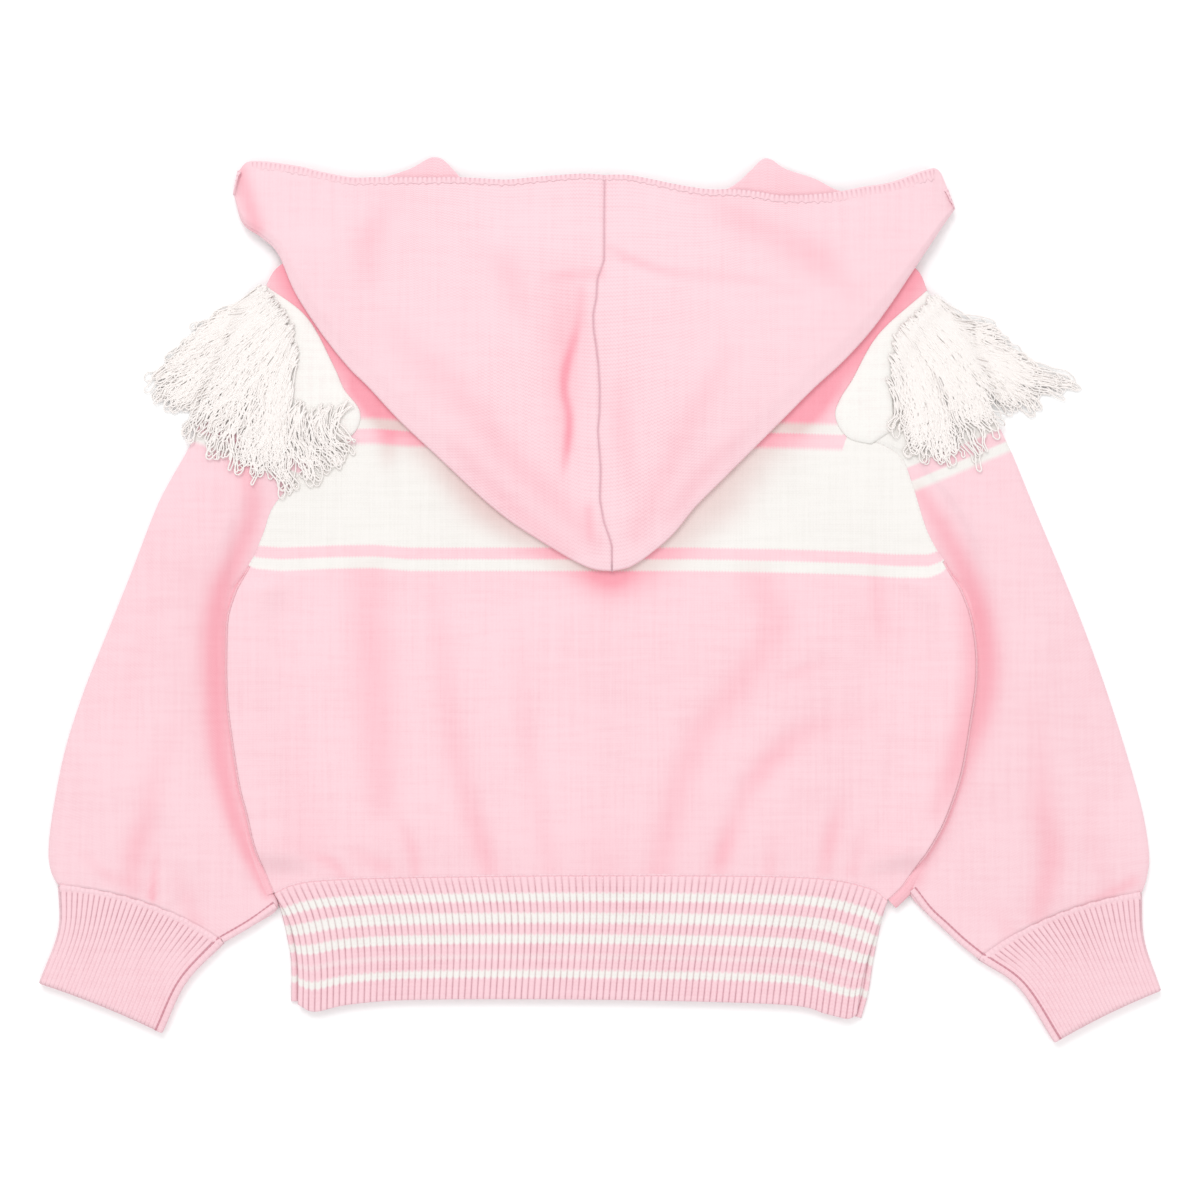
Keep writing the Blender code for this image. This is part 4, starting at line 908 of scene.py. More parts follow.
sleeve_knit = knit("pink knit with sleeve bands", bands=SLEEVE_BANDS)
across = shares_with_edges(SLEEVE_ACROSS, SLEEVE_WIDTH, SLEEVE_CLOSE)
dome = window(across, SLEEVE_DOME)[None, :]
down = smoothstep(np.linspace(0.0, 1.0, SLEEVE_ROWS)[:, None], *PLEAT_FROM)
pleats = CUFF_PLEAT_HEIGHT * np.sin(2 * np.pi * CUFF_PLEAT * across)[None] * down
sleeves = {}
for side in HANDS:
    lines, air = sleeve_lines(side, across)
    swell = np.maximum(air[:, None] * dome + dome * (relief(lines, SLEEVE_FOLDS) + pleats), 0.0)
    shade = np.clip(creases(lines, SLEEVE_CREASE_SHADE[side]) + BASE_SHADE, 0.0, 1.0)
    courses = sleeve_courses(lines, side)
    piece = cloth("sleeve_tube_" + side, *tube_rings(lines, swell), tube_stitches(lines, across),
                  course=ring(courses, courses), shade=ring(shade, shade), closed=True)
    sleeves[side] = dress(piece, sleeve_knit, "pink_knit", "sleeve_" + side)

# %% [markdown]
# ## The cuffs
# A cuff is a plain 1x1 rib, a tube laid flat like the sleeve. Its grooves are deep where the
# sleeve is gathered into it and fade towards the wrist, where the rib is stretched, and their
# painted shade fades with them.

# %% Cuffs
CUFF_RIBS, CUFF_FOLD, CUFF_HEIGHT = 30, 0.02, 0.6  # ribs, share of the width at a fold, mm
# the last value is the depth of the painted shade in the grooves
CUFF_ROWS, CUFF_UNDER, CUFF_COURSES, CUFF_GROOVE_SHADE = 26, 41, 38, 0.8
GROOVE_FADE, GROOVE_LOSS = 0.15, 0.85  # share of its length after which a groove fades, and by how much
RIB_LEAST = 0.35  # share of a rib's height that stays where its grooves have faded
# share across from the inner edge, share of the way to the wrist that a groove is long
GROOVE_LENGTH = ((0.0, 0.3), (0.3, 0.55), (0.6, 0.8), (0.85, 1.0), (1.0, 0.8))
GROOVE_RAGGED, RAGGED_STEP = 0.1, 2.4  # how unevenly long the grooves are


def cuff_rings(side):
    """Outer and inner ring of a cuff, a plain underside and ribs on its top, and the painted shade of its
    grooves.
    """
    hand = HANDS[side]
    sections = np.array(CUFF_SECTIONS[side], float)
    sections[0, [1, 3]] -= SEAM
    sections = spline(sections, CUFF_ROWS)
    shares, high, groove = rib_wave(CUFF_RIBS)
    number = (shares * CUFF_RIBS + 0.5).astype(int)
    length = (look_up(shares, GROOVE_LENGTH) + GROOVE_RAGGED * np.sin(number * RAGGED_STEP))[None]
    down = np.linspace(0, 1, CUFF_ROWS)[:, None]
    fade = 1 - GROOVE_LOSS * smoothstep(down, GROOVE_FADE * length, length)[:, ::-1]
    ribs = CUFF_HEIGHT * (high[::-1] - GROOVE_SINK) * (RIB_LEAST + (1 - RIB_LEAST) * fade)
    over = CUFF_FOLD + (1 - 2 * CUFF_FOLD) * shares[::-1]
    under = np.linspace(CUFF_FOLD, 1 - CUFF_FOLD, CUFF_UNDER)
    across = np.concatenate(([0.0], under, [1.0], over))
    at_fold, at_top = np.isin(across, (0.0, 1.0)), np.arange(len(across)) > CUFF_UNDER + 1
    rings = []
    for inset, raised in ((0.0, ribs), (WALL, 0.0 * ribs)):
        heights = np.where(at_fold, FLAT / 2, np.where(at_top, FLAT - inset, inset))
        rows = []
        for (in_x, in_y, out_x, out_y, bow), rib in zip(sections, raised):
            start, end = np.array((in_x, in_y)), np.array((out_x, out_y))
            step = inset * unit(end - start)
            height = heights + np.pad(rib, (CUFF_UNDER + 2, 0))
            rows.append(with_height(section_line(start + step, end - step, bow, across, hand), height))
        rings.append(np.array(rows))
    return rings, np.pad(groove[::-1] * fade, ((0, 0), (CUFF_UNDER + 2, 0)))


cuff_knit = knit("pink rib", ground=RIB_PINK, thread=GROOVE_SHADE, wale_shade=RIB_SHADE, uneven=RIB_UNEVEN)
around = np.concatenate((np.linspace(0, 1, CUFF_UNDER + 2), 1 + rib_wave(CUFF_RIBS)[0], [2])) * CUFF_RIBS
stitches = pairs(around, np.linspace(0, CUFF_COURSES, CUFF_ROWS)[:, None])
for side in HANDS:
    rings, depth = cuff_rings(side)
    piece = cloth("cuff_tube_" + side, *rings, stitches, shade=BASE_SHADE, thread=CUFF_GROOVE_SHADE * depth,
                  closed=True)
    dress(piece, cuff_knit, "pink_rib", "cuff_" + side)

# %% [markdown]
# ## The hood
# The hood is folded flat over the back. Each half is one sheet: its under layer runs from the
# neck edge to the fold, turns over there in a half circle, and its upper layer runs back to the
# face edge. The two halves meet at the centre seam. Some air is caught inside, and a few creases
# run down beside the seam.

# %% Hood halves
HOOD_REACH, HOOD_OVER, HOOD_UNDER, HOOD_LENGTH = 120, 64, 28, 100.0
HOOD_TURN = np.radians(np.linspace(-75.0, 75.0, 9))
HOOD_FOLDS = (  # start x, y, end x, y, half width, height
    (-10, 118, -15, 92, 7, -0.9), (-12, 90, -15, 58, 6, -0.8), (-24, 138, 2, 141, 6, -0.5),
    (2, 141, 56, 132, 7, -0.5), (62, 152, 40, 96, 9, -0.5), (-62, 150, -70, 110, 10, 0.4),
    (-30, 116, -40, 70, 9, 0.4), (30, 100, 44, 66, 8, 0.35), (16, 84, 22, 50, 6, -0.3),
)
# painted shade in the hood's creases: x, y, half width, depth of shade
HOOD_CREASE_SHADE = (
    ((-8, 130, 2, 0.12), (-9, 116, 2, 0.2), (-14, 98, 2, 0.42), (-15, 88, 1.8, 0.4), (-13, 77, 1.8, 0.42),
     (-13.5, 66, 1.8, 0.45), (-15.5, 53, 1.6, 0.1)),
    ((-17, 134, 8, 0.08), (-15, 108, 8, 0.16), (-15, 80, 7, 0.12), (-14, 54, 6, 0.04)),
    ((-24, 134, 2, 0.05), (-12, 136, 2.2, 0.16), (0.5, 136.5, 1.8, 0.16)),
    ((4, 147, 2, 0.1), (12, 143, 2, 0.16), (22, 139, 2, 0.16), (36, 136, 2.2, 0.1), (64, 134, 2.4, 0.06),
     (86, 127, 3, 0.02)),
    ((-88, 165, 5, 0.06), (-97, 150, 5.5, 0.12), (-97, 134, 5, 0.07)),
    ((-48, 145, 5, 0.04), (-38, 137, 6, 0.13), (-33, 120, 5, 0.06)),
    ((44, 168, 6, 0.05), (58, 160, 7, 0.14), (74, 152, 7, 0.13), (92, 142, 7, 0.15), (104, 130, 5, 0.05)),
    ((-66, 98, 6, 0.05), (-49, 74, 6, 0.11), (-34, 56, 6, 0.14), (-15, 38, 5.5, 0.14), (-3, 25, 4.5, 0.12)),
    ((-90, 118, 6, 0.03), (-76, 100, 7, 0.08), (-62, 84, 6, 0.04)),
    ((53, 102, 5, 0.06), (39, 77, 5, 0.1), (27, 53, 5, 0.11), (15, 28, 4.5, 0.11)),
    ((-4.7, 38, 2.2, 0.18), (-4, 27, 1.8, 0.12)), ((8, 90, 5, 0.05), (9, 72, 5, 0.12), (13, 50, 4, 0.04)),
    ((60, 70, 4, 0.05), (44, 54, 4, 0.12), (30, 36, 4, 0.1)),
    ((-60, 64, 4, 0.08), (-38, 40, 4, 0.14), (-14, 20, 4, 0.12)),
    ((-151, 179, 3.5, 0.25), (-144, 156, 3.5, 0.3)),
)
HOOD_COURSE = 1.6  # mm of a course beside the centre seam
HOOD_COURSE_SHADE = 0.2
HOOD_WIDEN, HOOD_DEEPEN = 1.1, 1.9  # how much wider and deeper than in the table the shade is
HOOD_UNDER_SHADE = 0.16
SEAM_LINE, SEAM_LINE_DARK = 0.45, 0.12  # mm that the thin line beside the centre seam reaches, how dark


def hood_rest(plan):
    """Height the hood lies at: on the back, and falling beyond the shoulder line."""
    line = np.array(BACK_TOP, float)
    x = plan[..., 0]
    beyond = plan[..., 1] - look_up(x, line[1:-1])
    beyond = np.maximum(beyond, np.maximum(line[1, 0] - x, x - line[-2, 0]))
    return np.maximum(LIFT - HOOD_SETTLE - HOOD_DROOP * np.maximum(beyond - HOOD_MARGIN, 0.0), HOOD_LOW)


def hood_half(side):
    """Outer and inner grid of a hood half, its stitches, its marks, and the top of its upper layer."""
    table = spline(HOOD[side], HOOD_REACH)
    face, fold, neck = table[:, 0:2], table[:, 2:4], table[:, 4:6]
    reach = np.linspace(0.0, 1.0, HOOD_REACH)
    gap = HANDS[side] * SEAM / 2 * (reach == 1.0)

    def layer(edge, count):
        """Plan of a layer from its edge to the fold, and the shares of that way."""
        rows = np.append(shares_with_edges(count, HOOD_LENGTH)[:-len(CLOSE)], 1.0)
        plan = edge[:, None] + rows[None, :, None] * (fold - edge)[:, None]
        plan[..., 0] += reach[:, None] ** SEAM_REACH * look_up(rows, SEAM_WAVE) + gap[:, None]
        return plan, rows

    under, under_at = layer(neck, HOOD_UNDER)
    over, over_at = layer(face, HOOD_OVER)
    seam_span, seam_share = HOOD_SEAM_AIR
    by_reach = smoothstep(reach, *HOOD_CORNER) * (1.0 - seam_share * smoothstep(reach, *seam_span))
    room = by_reach[:, None] * window(over_at, HOOD_AIR)
    swell = np.maximum(HOOD_SWELL * room + np.minimum(2 * room, 1.0) * relief(over, HOOD_FOLDS), 0.0)
    length = np.linalg.norm(fold - face, axis=1).mean()
    thin_over, thin_under = (1 - HOOD_PRESS * smoothstep(at * length, length - PRESS_REACH, length)
                             for at in (over_at, under_at))
    low = hood_rest(under)
    high = np.maximum(hood_rest(over), low[:, -1:]) + (WALL + PLY) * thin_over + swell
    run = run_along(fold)[-1]
    side_turn = turned(run * np.minimum(reach, 1 - reach))[:, None]

    def both_sides(plan, height, at, thin):
        """Upper and lower surface of a layer whose middle lies half a wall over its height."""
        middle = height + 0.5 * WALL * thin
        rise = 0.5 * WALL * thin * np.minimum(side_turn, turned(at * length))
        return with_height(plan, middle + rise), with_height(plan, middle - rise)

    under_top, under_bottom = both_sides(under, low, under_at, thin_under)
    over_top, over_bottom = both_sides(over, high, over_at, thin_over)
    inwards = unit(under[:, -2] - fold)[:, None]
    fold_at = (fold + np.stack((gap, 0 * gap), axis=-1))[:, None]
    thin = 1 - HOOD_PRESS

    def turning(radius, depth):
        """The pressed fold as a half circle of the given radius, depth mm in from the edge."""
        plan = fold_at + inwards * (thin * (depth + radius * (1 - np.cos(HOOD_TURN))))[None, :, None]
        return with_height(plan, low[:, -1:] + thin * (FLAT / 2 + radius * np.sin(HOOD_TURN)))

    outer = np.concatenate((under_bottom[:, :-1], turning(FLAT / 2, 0.0), over_top[:, -2::-1]), axis=1)
    inner = np.concatenate((under_top[:, :-1], turning(PLY / 2, WALL), over_bottom[:, -2::-1]), axis=1)
    plan = outer[..., :2]
    # painted shade in the hood's creases, and an even painted shade on its under layer
    shade = np.clip(HOOD_DEEPEN * creases(plan, HOOD_CREASE_SHADE, HOOD_WIDEN), 0.0, 1.0)
    shade[:, :under.shape[1]] = HOOD_UNDER_SHADE
    line = SEAM_LINE_DARK * np.exp(-(((1 - reach) * run / SEAM_LINE) ** 2))[:, None]
    stitches = pairs(plan[..., 0] / WALE, run_along(plan[-1]) / HOOD_COURSE)
    return outer, inner, stitches, {"shade": shade, "thread": line}, over_top


hood_knit = knit("pink knit of the hood", course_shade=HOOD_COURSE_SHADE)
hoods, hood_tops = {}, {}
for side in HANDS:
    outer, inner, stitches, marks, hood_tops[side] = hood_half(side)
    piece = cloth("hood_half_" + side, outer, inner, stitches, **marks)
    hoods[side] = dress(piece, hood_knit, "pink_knit", "hood_" + side)

# %% [markdown]
# ## Seams
# Pieces of knitwear are linked, loop by loop, and the seam lies as a soft line between them. Here
# a narrow roll of yarn fills each join, a little lower than the cloth beside it, and its linking
# stitches show as ridges with painted shade between them. Where a sleeve is sewn together and
# where it meets its cuff, the roll is wide and stands proud, so its ridge shows; along the sewn
# underside of sleeve and cuff a dark rose strip beside it paints the shade at its edge. A high
# roll and a low one close the step from the body's side down to the sleeve. The face edge of the
# hood is overlocked with short close stitches, with painted shade between them.

# %% Rolls along seams
ROLL_PROFILE = np.linspace(0.0, 1.0, 7)
ROLL_SINK = 0.5  # mm that a roll reaches down into its join
TICK_PITCH, TICK_POINTS = 2.0, 5  # mm from one linking stitch to the next, and the steps on it
JOIN, JOIN_DOWN, JOIN_HEIGHT = 1.8, 0.55, 0.5  # width of a filled join, how low its sides lie, its arch
TICKS, TICKS_FAINT, TICKS_STRONG = 0.15, 0.05, 0.4  # how much the linking stitches show, as ridges and as painted shade between them
# the high roll at the body's side and the low one beside it: how far in they start, their sizes in mm, and
# the depth of their painted shade
SIDE_IN, SIDE_WIDTH, SIDE_LOW, SIDE_HEIGHT, SIDE_SHADE = 0.9, 2.5, -0.9, 3.5, 0.3
FILL_IN, FILL_WIDTH, FILL_DOWN, FILL_HEIGHT, FILL_SHADE = 0.8, 5.8, 1.1, 1.2, 0.5
FILL_LOW, FILL_ENDS = 1.0, (2.0, 14.0)  # how much lower it lies at the underarm, and from which y
HOOD_JOIN, HOOD_JOIN_DOWN, HOOD_JOIN_HEIGHT = 0.75, 0.75, 0.3
CREST_COLUMN, SEAM_START = -5, 3  # where the hood's height is read, and where its stitches begin
SEAM_SHADE = 0.1  # depth of shade between the stitches of a seam


def roll(name, line, out, start, width, low, height, finish, ticks=0.0, course=0.0, pitch=TICK_PITCH,
         shade=BASE_SHADE, fading=0.0):
    """A strip beside a line, arched over its width: its height over low is height * sin(pi s),
    with ridges that stand ticks times higher, one for each stitch, and painted shade between them.
    It begins start mm out from the line."""
    edge = line + start * out
    run = run_along(edge)
    width = np.broadcast_to(width, len(edge))
    low = low[:, None] if np.ndim(low) == 1 else low
    plan = edge[:, None] + (ROLL_PROFILE * width[:, None])[..., None] * out[:, None]
    stitch = 0.5 - 0.5 * np.cos(2 * np.pi * run / pitch)[:, None]
    arch = np.sin(np.pi * ROLL_PROFILE) * height * (1 + ticks * (stitch - 1))
    thread = ticks * (1 - stitch) ** 2 * (1 - fading * ROLL_PROFILE)
    top, bottom = with_height(plan, low + arch), with_height(plan, low - ROLL_SINK + 0 * arch)
    stitches = pairs(2 * ROLL_PROFILE, run[:, None] / TICK_PITCH * 2)
    dress(cloth(name, top, bottom, stitches, np.reshape(course, (-1, 1)), shade, thread), finish, "pink_knit")


def fine_line(points):
    """A curve through points, with a few steps for each linking stitch."""
    return along(points, int(run_along(np.asarray(points, float))[-1] * TICK_POINTS / TICK_PITCH) + 2)


seam_knit = knit("pink linking seam", wale_shade=SEAM_SHADE)
seam_grey = knit("rose grey linking thread", ground=linear(230, 192, 201), wale_shade=SEAM_SHADE)
# a dark rose strip that paints the shade along the edge of the underarm seam's roll
seam_shade_line = knit("deep rose seam thread", ground=linear(212, 152, 164), wale_shade=SEAM_SHADE)

join_start = -0.5 * (JOIN - SEAM)
line = fine_line(HEM_SEAM)
roll("hem_join", line, -left_of(line), join_start, JOIN, back_height(line) + WALL - JOIN_DOWN, JOIN_HEIGHT,
     seam_knit, TICKS)
for side, hand in HANDS.items():
    line = fine_line(ARMHOLE[side])
    roll("armhole_join_" + side, line, -hand * left_of(line), join_start, JOIN,
         back_height(line) + WALL - JOIN_DOWN, JOIN_HEIGHT, back_knit, TICKS, back_marks(line)["course"])
for side, hand in HANDS.items():
    line = fine_line([(x, y) for y, x, _ in SIDE[side]])
    out = -hand * left_of(line)
    low = np.maximum(lift(line) + SIDE_LOW, ROLL_SINK)
    roll("side_seam_" + side, line, out, -SIDE_IN, SIDE_WIDTH, low, SIDE_HEIGHT, seam_knit, TICKS_FAINT,
         shade=SIDE_SHADE)
    low = FLAT - FILL_DOWN - FILL_LOW * smoothstep(line[:, 1], *FILL_ENDS)
    roll("side_fill_" + side, line, out, -FILL_IN, FILL_WIDTH, low, FILL_HEIGHT, back_knit, shade=FILL_SHADE)

middle = 0.5 * (hood_tops["left"] + hood_tops["right"])
line = middle[-1, SEAM_START:, :2]
roll("hood_join", line, left_of(line), -0.5 * HOOD_JOIN, HOOD_JOIN,
     middle[CREST_COLUMN, SEAM_START:, 2] - HOOD_JOIN_DOWN, HOOD_JOIN_HEIGHT, seam_grey, TICKS_STRONG)

# %% Underarm seams, cuff links and the hood's edge
UNDERARM_START, UNDERARM_WIDTH, UNDERARM_DOWN, UNDERARM_HEIGHT = 0.2, 2.6, 0.35, 0.75
# the dark rose strip beyond the underarm roll, painted shade along its edge: width, height, how low it lies
SHADE_LINE_WIDTH, SHADE_LINE_HEIGHT, SHADE_LINE_LOW = 0.9, 0.45, {"sleeve": -0.3, "cuff": 0.1}
LINK_START, LINK_WIDTH, LINK_DOWN, LINK_HEIGHT, LINK_TICKS = -0.6, 3.4, 0.2, 0.8, 0.2
LINK_SHARES = np.linspace(0.02, 0.985, 150)  # of the way from the cuff's inner to its outer edge
CUFF_END_STEPS = 12
OVERLOCK_ROW, OVERLOCK_PITCH, OVERLOCK_HEIGHT, OVERLOCK_TICKS, OVERLOCK_CLEAR = 7, 2.0, 0.2, 0.8, 0.03
RAGGED, RAGGED_WAVES = 0.18, (1.9, 0.47)  # how unevenly long the overlock stitches are
CENTRE_IN = 0.5  # mm that the edge's stitches go on past the centre seam
# share from the hood's corner to its centre seam, length of the overlock stitches
EDGE_WIDTH = {"left": ((0, 0.3), (0.05, 1.0), (0.1, 3.8), (0.3, 3.4), (0.6, 2.6), (1, 2.2)),
              "right": ((0, 0.3), (0.05, 1.5), (0.1, 5.0), (0.35, 4.6), (0.5, 3.0), (1, 2.2))}
# the overlock's dark colour paints the shade between its stitches
overlock = knit("pink overlock stitches", thread=linear(216, 164, 176), wale_shade=0.06)
for side, hand in HANDS.items():
    sections = np.array(CUFF_SECTIONS[side], float)
    ends = {"sleeve": SLEEVE_INNER_END[side], "cuff": spline(sections[:, :2], CUFF_END_STEPS)}
    for part, points in ends.items():
        line = fine_line(points)
        inwards = hand * left_of(line)
        roll(f"underarm_{part}_{side}", line, inwards, UNDERARM_START, UNDERARM_WIDTH, FLAT - UNDERARM_DOWN,
             UNDERARM_HEIGHT, seam_knit, TICKS)
        roll(f"underarm_thread_{part}_{side}", line, inwards, UNDERARM_WIDTH, SHADE_LINE_WIDTH,
             FLAT + SHADE_LINE_LOW[part], SHADE_LINE_HEIGHT, seam_shade_line, TICKS_STRONG)
    link = section_line(sections[0, :2], sections[0, 2:4], sections[0, 4], LINK_SHARES, hand)
    to_cuff = left_of(link)
    to_cuff *= -np.sign(to_cuff[:, 1:])
    roll("cuff_link_" + side, link, to_cuff, LINK_START, LINK_WIDTH, FLAT - LINK_DOWN, LINK_HEIGHT, seam_knit,
         LINK_TICKS)

    tops = hood_tops[side]
    corner = np.stack((tops[0, ::-1], tops[OVERLOCK_ROW, ::-1]), axis=1)[::OVERLOCK_ROW]
    centre = tops[-1:, (0, OVERLOCK_ROW)] + (-hand * CENTRE_IN, 0.0, 0.0)
    rim = np.concatenate((corner, tops[1:, (0, OVERLOCK_ROW)], centre))
    run = run_along(rim[:, 0, :2])
    at = np.linspace(0, run[-1], int(run[-1] / OVERLOCK_PITCH * TICK_POINTS))
    x, y, crest = read(at, run, np.column_stack((rim[:, 0, :2], rim[:, 1, 2]))).T
    line = np.column_stack((x, y))
    ragged = 1 + RAGGED * np.sin(at * RAGGED_WAVES[0]) * np.sin(at * RAGGED_WAVES[1])
    width = look_up(at / run[-1], EDGE_WIDTH[side]) * ragged
    low = crest[:, None] - 0.5 * WALL * (1 - turned(np.outer(width, ROLL_PROFILE))) + OVERLOCK_CLEAR
    roll("hood_overlock_" + side, line, hand * left_of(line), 0.0, width, low, OVERLOCK_HEIGHT, overlock,
         OVERLOCK_TICKS, pitch=OVERLOCK_PITCH, fading=1.0)

# %% [markdown]
# ## The fringe
# A white knitted band is sewn into each armhole, and from its edge hangs a fringe of fine white
# yarn in long loops, which fans out over the sleeve's top and beyond it onto the surface. The
# loops come in small locks that lie over each other. One loop is a path that leaves the band,
# bends towards its tip, turns round there and comes back. The heights come from a map of the
# highest cloth under each square millimetre, and from there a loop falls only gently.

# %% Heights of what lies below
CELL = 1.0  # mm
MAP_HALF = 250  # cells from the middle to the map's edge


def neighbours(tops):
    """The map moved by one cell each way, and the map itself."""
    return [np.roll(tops, (dx, dy), (0, 1)) for dx in (-1, 0, 1) for dy in (-1, 0, 1)]


def height_map(pieces):
    """The highest point of the pieces in each cell, spread to the neighbour cells twice."""
    tops = np.zeros((2 * MAP_HALF, 2 * MAP_HALF))
    for piece in pieces:
        points = np.empty(3 * len(piece.data.vertices))
        piece.data.vertices.foreach_get("co", points)
        points = points.reshape(-1, 3) / MM
        cell = (points[:, :2] / CELL + MAP_HALF).astype(int)
        np.maximum.at(tops, (cell[:, 0], cell[:, 1]), points[:, 2])
    for _ in range(2):
        tops = np.max(neighbours(tops), axis=0)
    return np.mean(neighbours(tops), axis=0)


def height_at(tops, plan):
    """The map's height in each plan point's cell."""
    cell = (plan / CELL + MAP_HALF).astype(int)
    return tops[cell[..., 0], cell[..., 1]]


# %% Fringe bands
BAND_EDGE = {  # the band's free edge, from the shoulder down
    "left": ((-140, 128), (-132, 114), (-130, 101), (-132, 87), (-129, 73)),
    "right": ((142, 125), (131, 112), (125, 99), (123, 85), (124, 72)),
}
BAND_REACH = (1.0, 0.42)  # the stretch of the armhole seam that the band is sewn into
BAND_INSET, BAND_THICKNESS, BAND_LEVEL, BAND_CLEAR = 1.2, 1.4, 0.6, 0.1
BAND_COLUMNS, BAND_ROWS, BAND_WIDTH, BAND_CLOSE = 70, 16, 18.0, (0.0, 0.3, 0.8)
BAND_ROUND, BAND_LEAST = 6.0, 0.1  # the band thins out softly towards its edges
white_knit = knit("white knit", ground=WHITE, deep=WHITE_SHADED, wale_shade=0.08)
bands = {}
for side, hand in HANDS.items():
    under = height_map([back, *fronts, sleeves[side]])
    seam = along(ARMHOLE[side], np.linspace(*BAND_REACH, BAND_COLUMNS))
    seam = seam - hand * BAND_INSET * left_of(seam)
    rows = shares_with_edges(BAND_ROWS, BAND_WIDTH, BAND_CLOSE)[:, None, None]
    plan = (1 - rows) * seam[None] + rows * along(BAND_EDGE[side], BAND_COLUMNS)[None]
    low = height_at(under, plan) + BAND_CLEAR
    low = np.maximum(low, low.max(axis=0)[None] - BAND_LEVEL)
    top = low + BAND_THICKNESS * turned(edge_distance(plan), BAND_ROUND, BAND_LEAST)
    top, low = with_height(plan, top), with_height(plan, low)
    piece = cloth("fringe_band_" + side, top, low, plan / (WALE, COURSE))
    bands[side] = dress(piece, white_knit, "white_yarn", "fringe_" + side)

# %% Fringe yarn
# share of the way down the fringe, root x, y, tip x, y, bow upwards, all in mm
LOOPS = {
    "left": ((0.0, -144, 129, -160, 115, 0), (0.1, -143, 128, -173, 104, 0), (0.2, -141, 126, -183, 93, 0),
             (0.3, -139, 123, -192, 81, 0), (0.4, -136, 120, -181, 77, 1), (0.5, -134, 117, -173, 70, 1),
             (0.6, -132, 113, -162, 63, 1), (0.7, -130, 108, -151, 57, 1), (0.78, -129, 101, -142, 51, 2),
             (0.84, -131, 92, -135, 47, 3), (0.88, -128, 82, -127, 47, 4), (0.92, -121, 77, -117, 51, 4),
             (0.96, -114, 78, -110, 55, 4), (1.0, -105, 80, -102, 62, 4)),
    "right": ((0.0, 142, 125, 160, 113, -1), (0.1, 141, 124, 176, 103, -4), (0.2, 140, 123, 194, 89, -5),
              (0.28, 139, 122, 187, 87, -3), (0.42, 137, 120, 176, 76, 0), (0.54, 134, 117, 168, 69, 1),
              (0.66, 130, 113, 157, 65, 2), (0.78, 127, 110, 146, 63, 2), (0.88, 125, 106, 137, 63, 2),
              (0.95, 123.5, 98, 130, 64, 2), (1.0, 122.5, 88, 123, 64, 2)),
}
CURL = {"left": (0.8, 1.6), "right": (0.6, 1.3)}  # strength of the waves at the shoulder and below
WAVES = ((1.2, 25.0), (0.5, 11.0))  # height and pitch of the waves
RINGLET, RINGLET_PITCH = {"left": (0.3, 1.9), "right": (0.3, 1.4)}, 8.5  # radius and pitch of ringlets
WAVE_GROWS, RINGLET_GROWS, APART_GROWS = 0.7, 1.5, 0.5  # powers of the way with which each grows
LOCKS, LOOPS_A_LOCK = 40, 8
LEG_STEPS, TURN_STEPS = 24, 5
YARN_RADIUS, YARN_SIDES = 0.33, 4
ROOT_TUCK = 2.0  # mm that a loop starts inside the band's edge
ROOT_SPREAD, LOCK_SPREAD, LOOP_SPREAD = 1.4, 3.0, 2.2  # mm at the roots and the tips
SHARE_SPREAD, LOCK_BOW, LOOP_BOW = 0.02, 1.0, 0.6  # along the band, and of the bows in mm
LENGTHS, LOOP_LENGTHS = (0.74, 1.02), (0.93, 1.03)  # of a lock, and of a loop against its lock
TURN_WIDTHS, TURN_LONG = (0.9, 3.6), 1.6  # mm between a loop's legs, and how long its turn is
APART_WAVE, APART_TURNS, APART_PHASE = 0.3, 9, 40  # a slight wave of the distance between the legs
YARN_PILE = 0.9  # mm between the lowest and the highest loops
FRINGE_CLEAR, FLOOR_CLEAR, FRINGE_FALL = 0.45, 0.6, 0.35
YARN_WHITE, YARN_SHADE = (0.935, 0.89, 0.865, 1.0), (0.905, 0.855, 0.83, 1.0)
FIRST_SEED = 5


def near_normal(rng, spread, shape):
    """Normal random values, none of them more than twice their spread away from zero."""
    return np.clip(rng.normal(0.0, spread, shape), -2 * spread, 2 * spread)


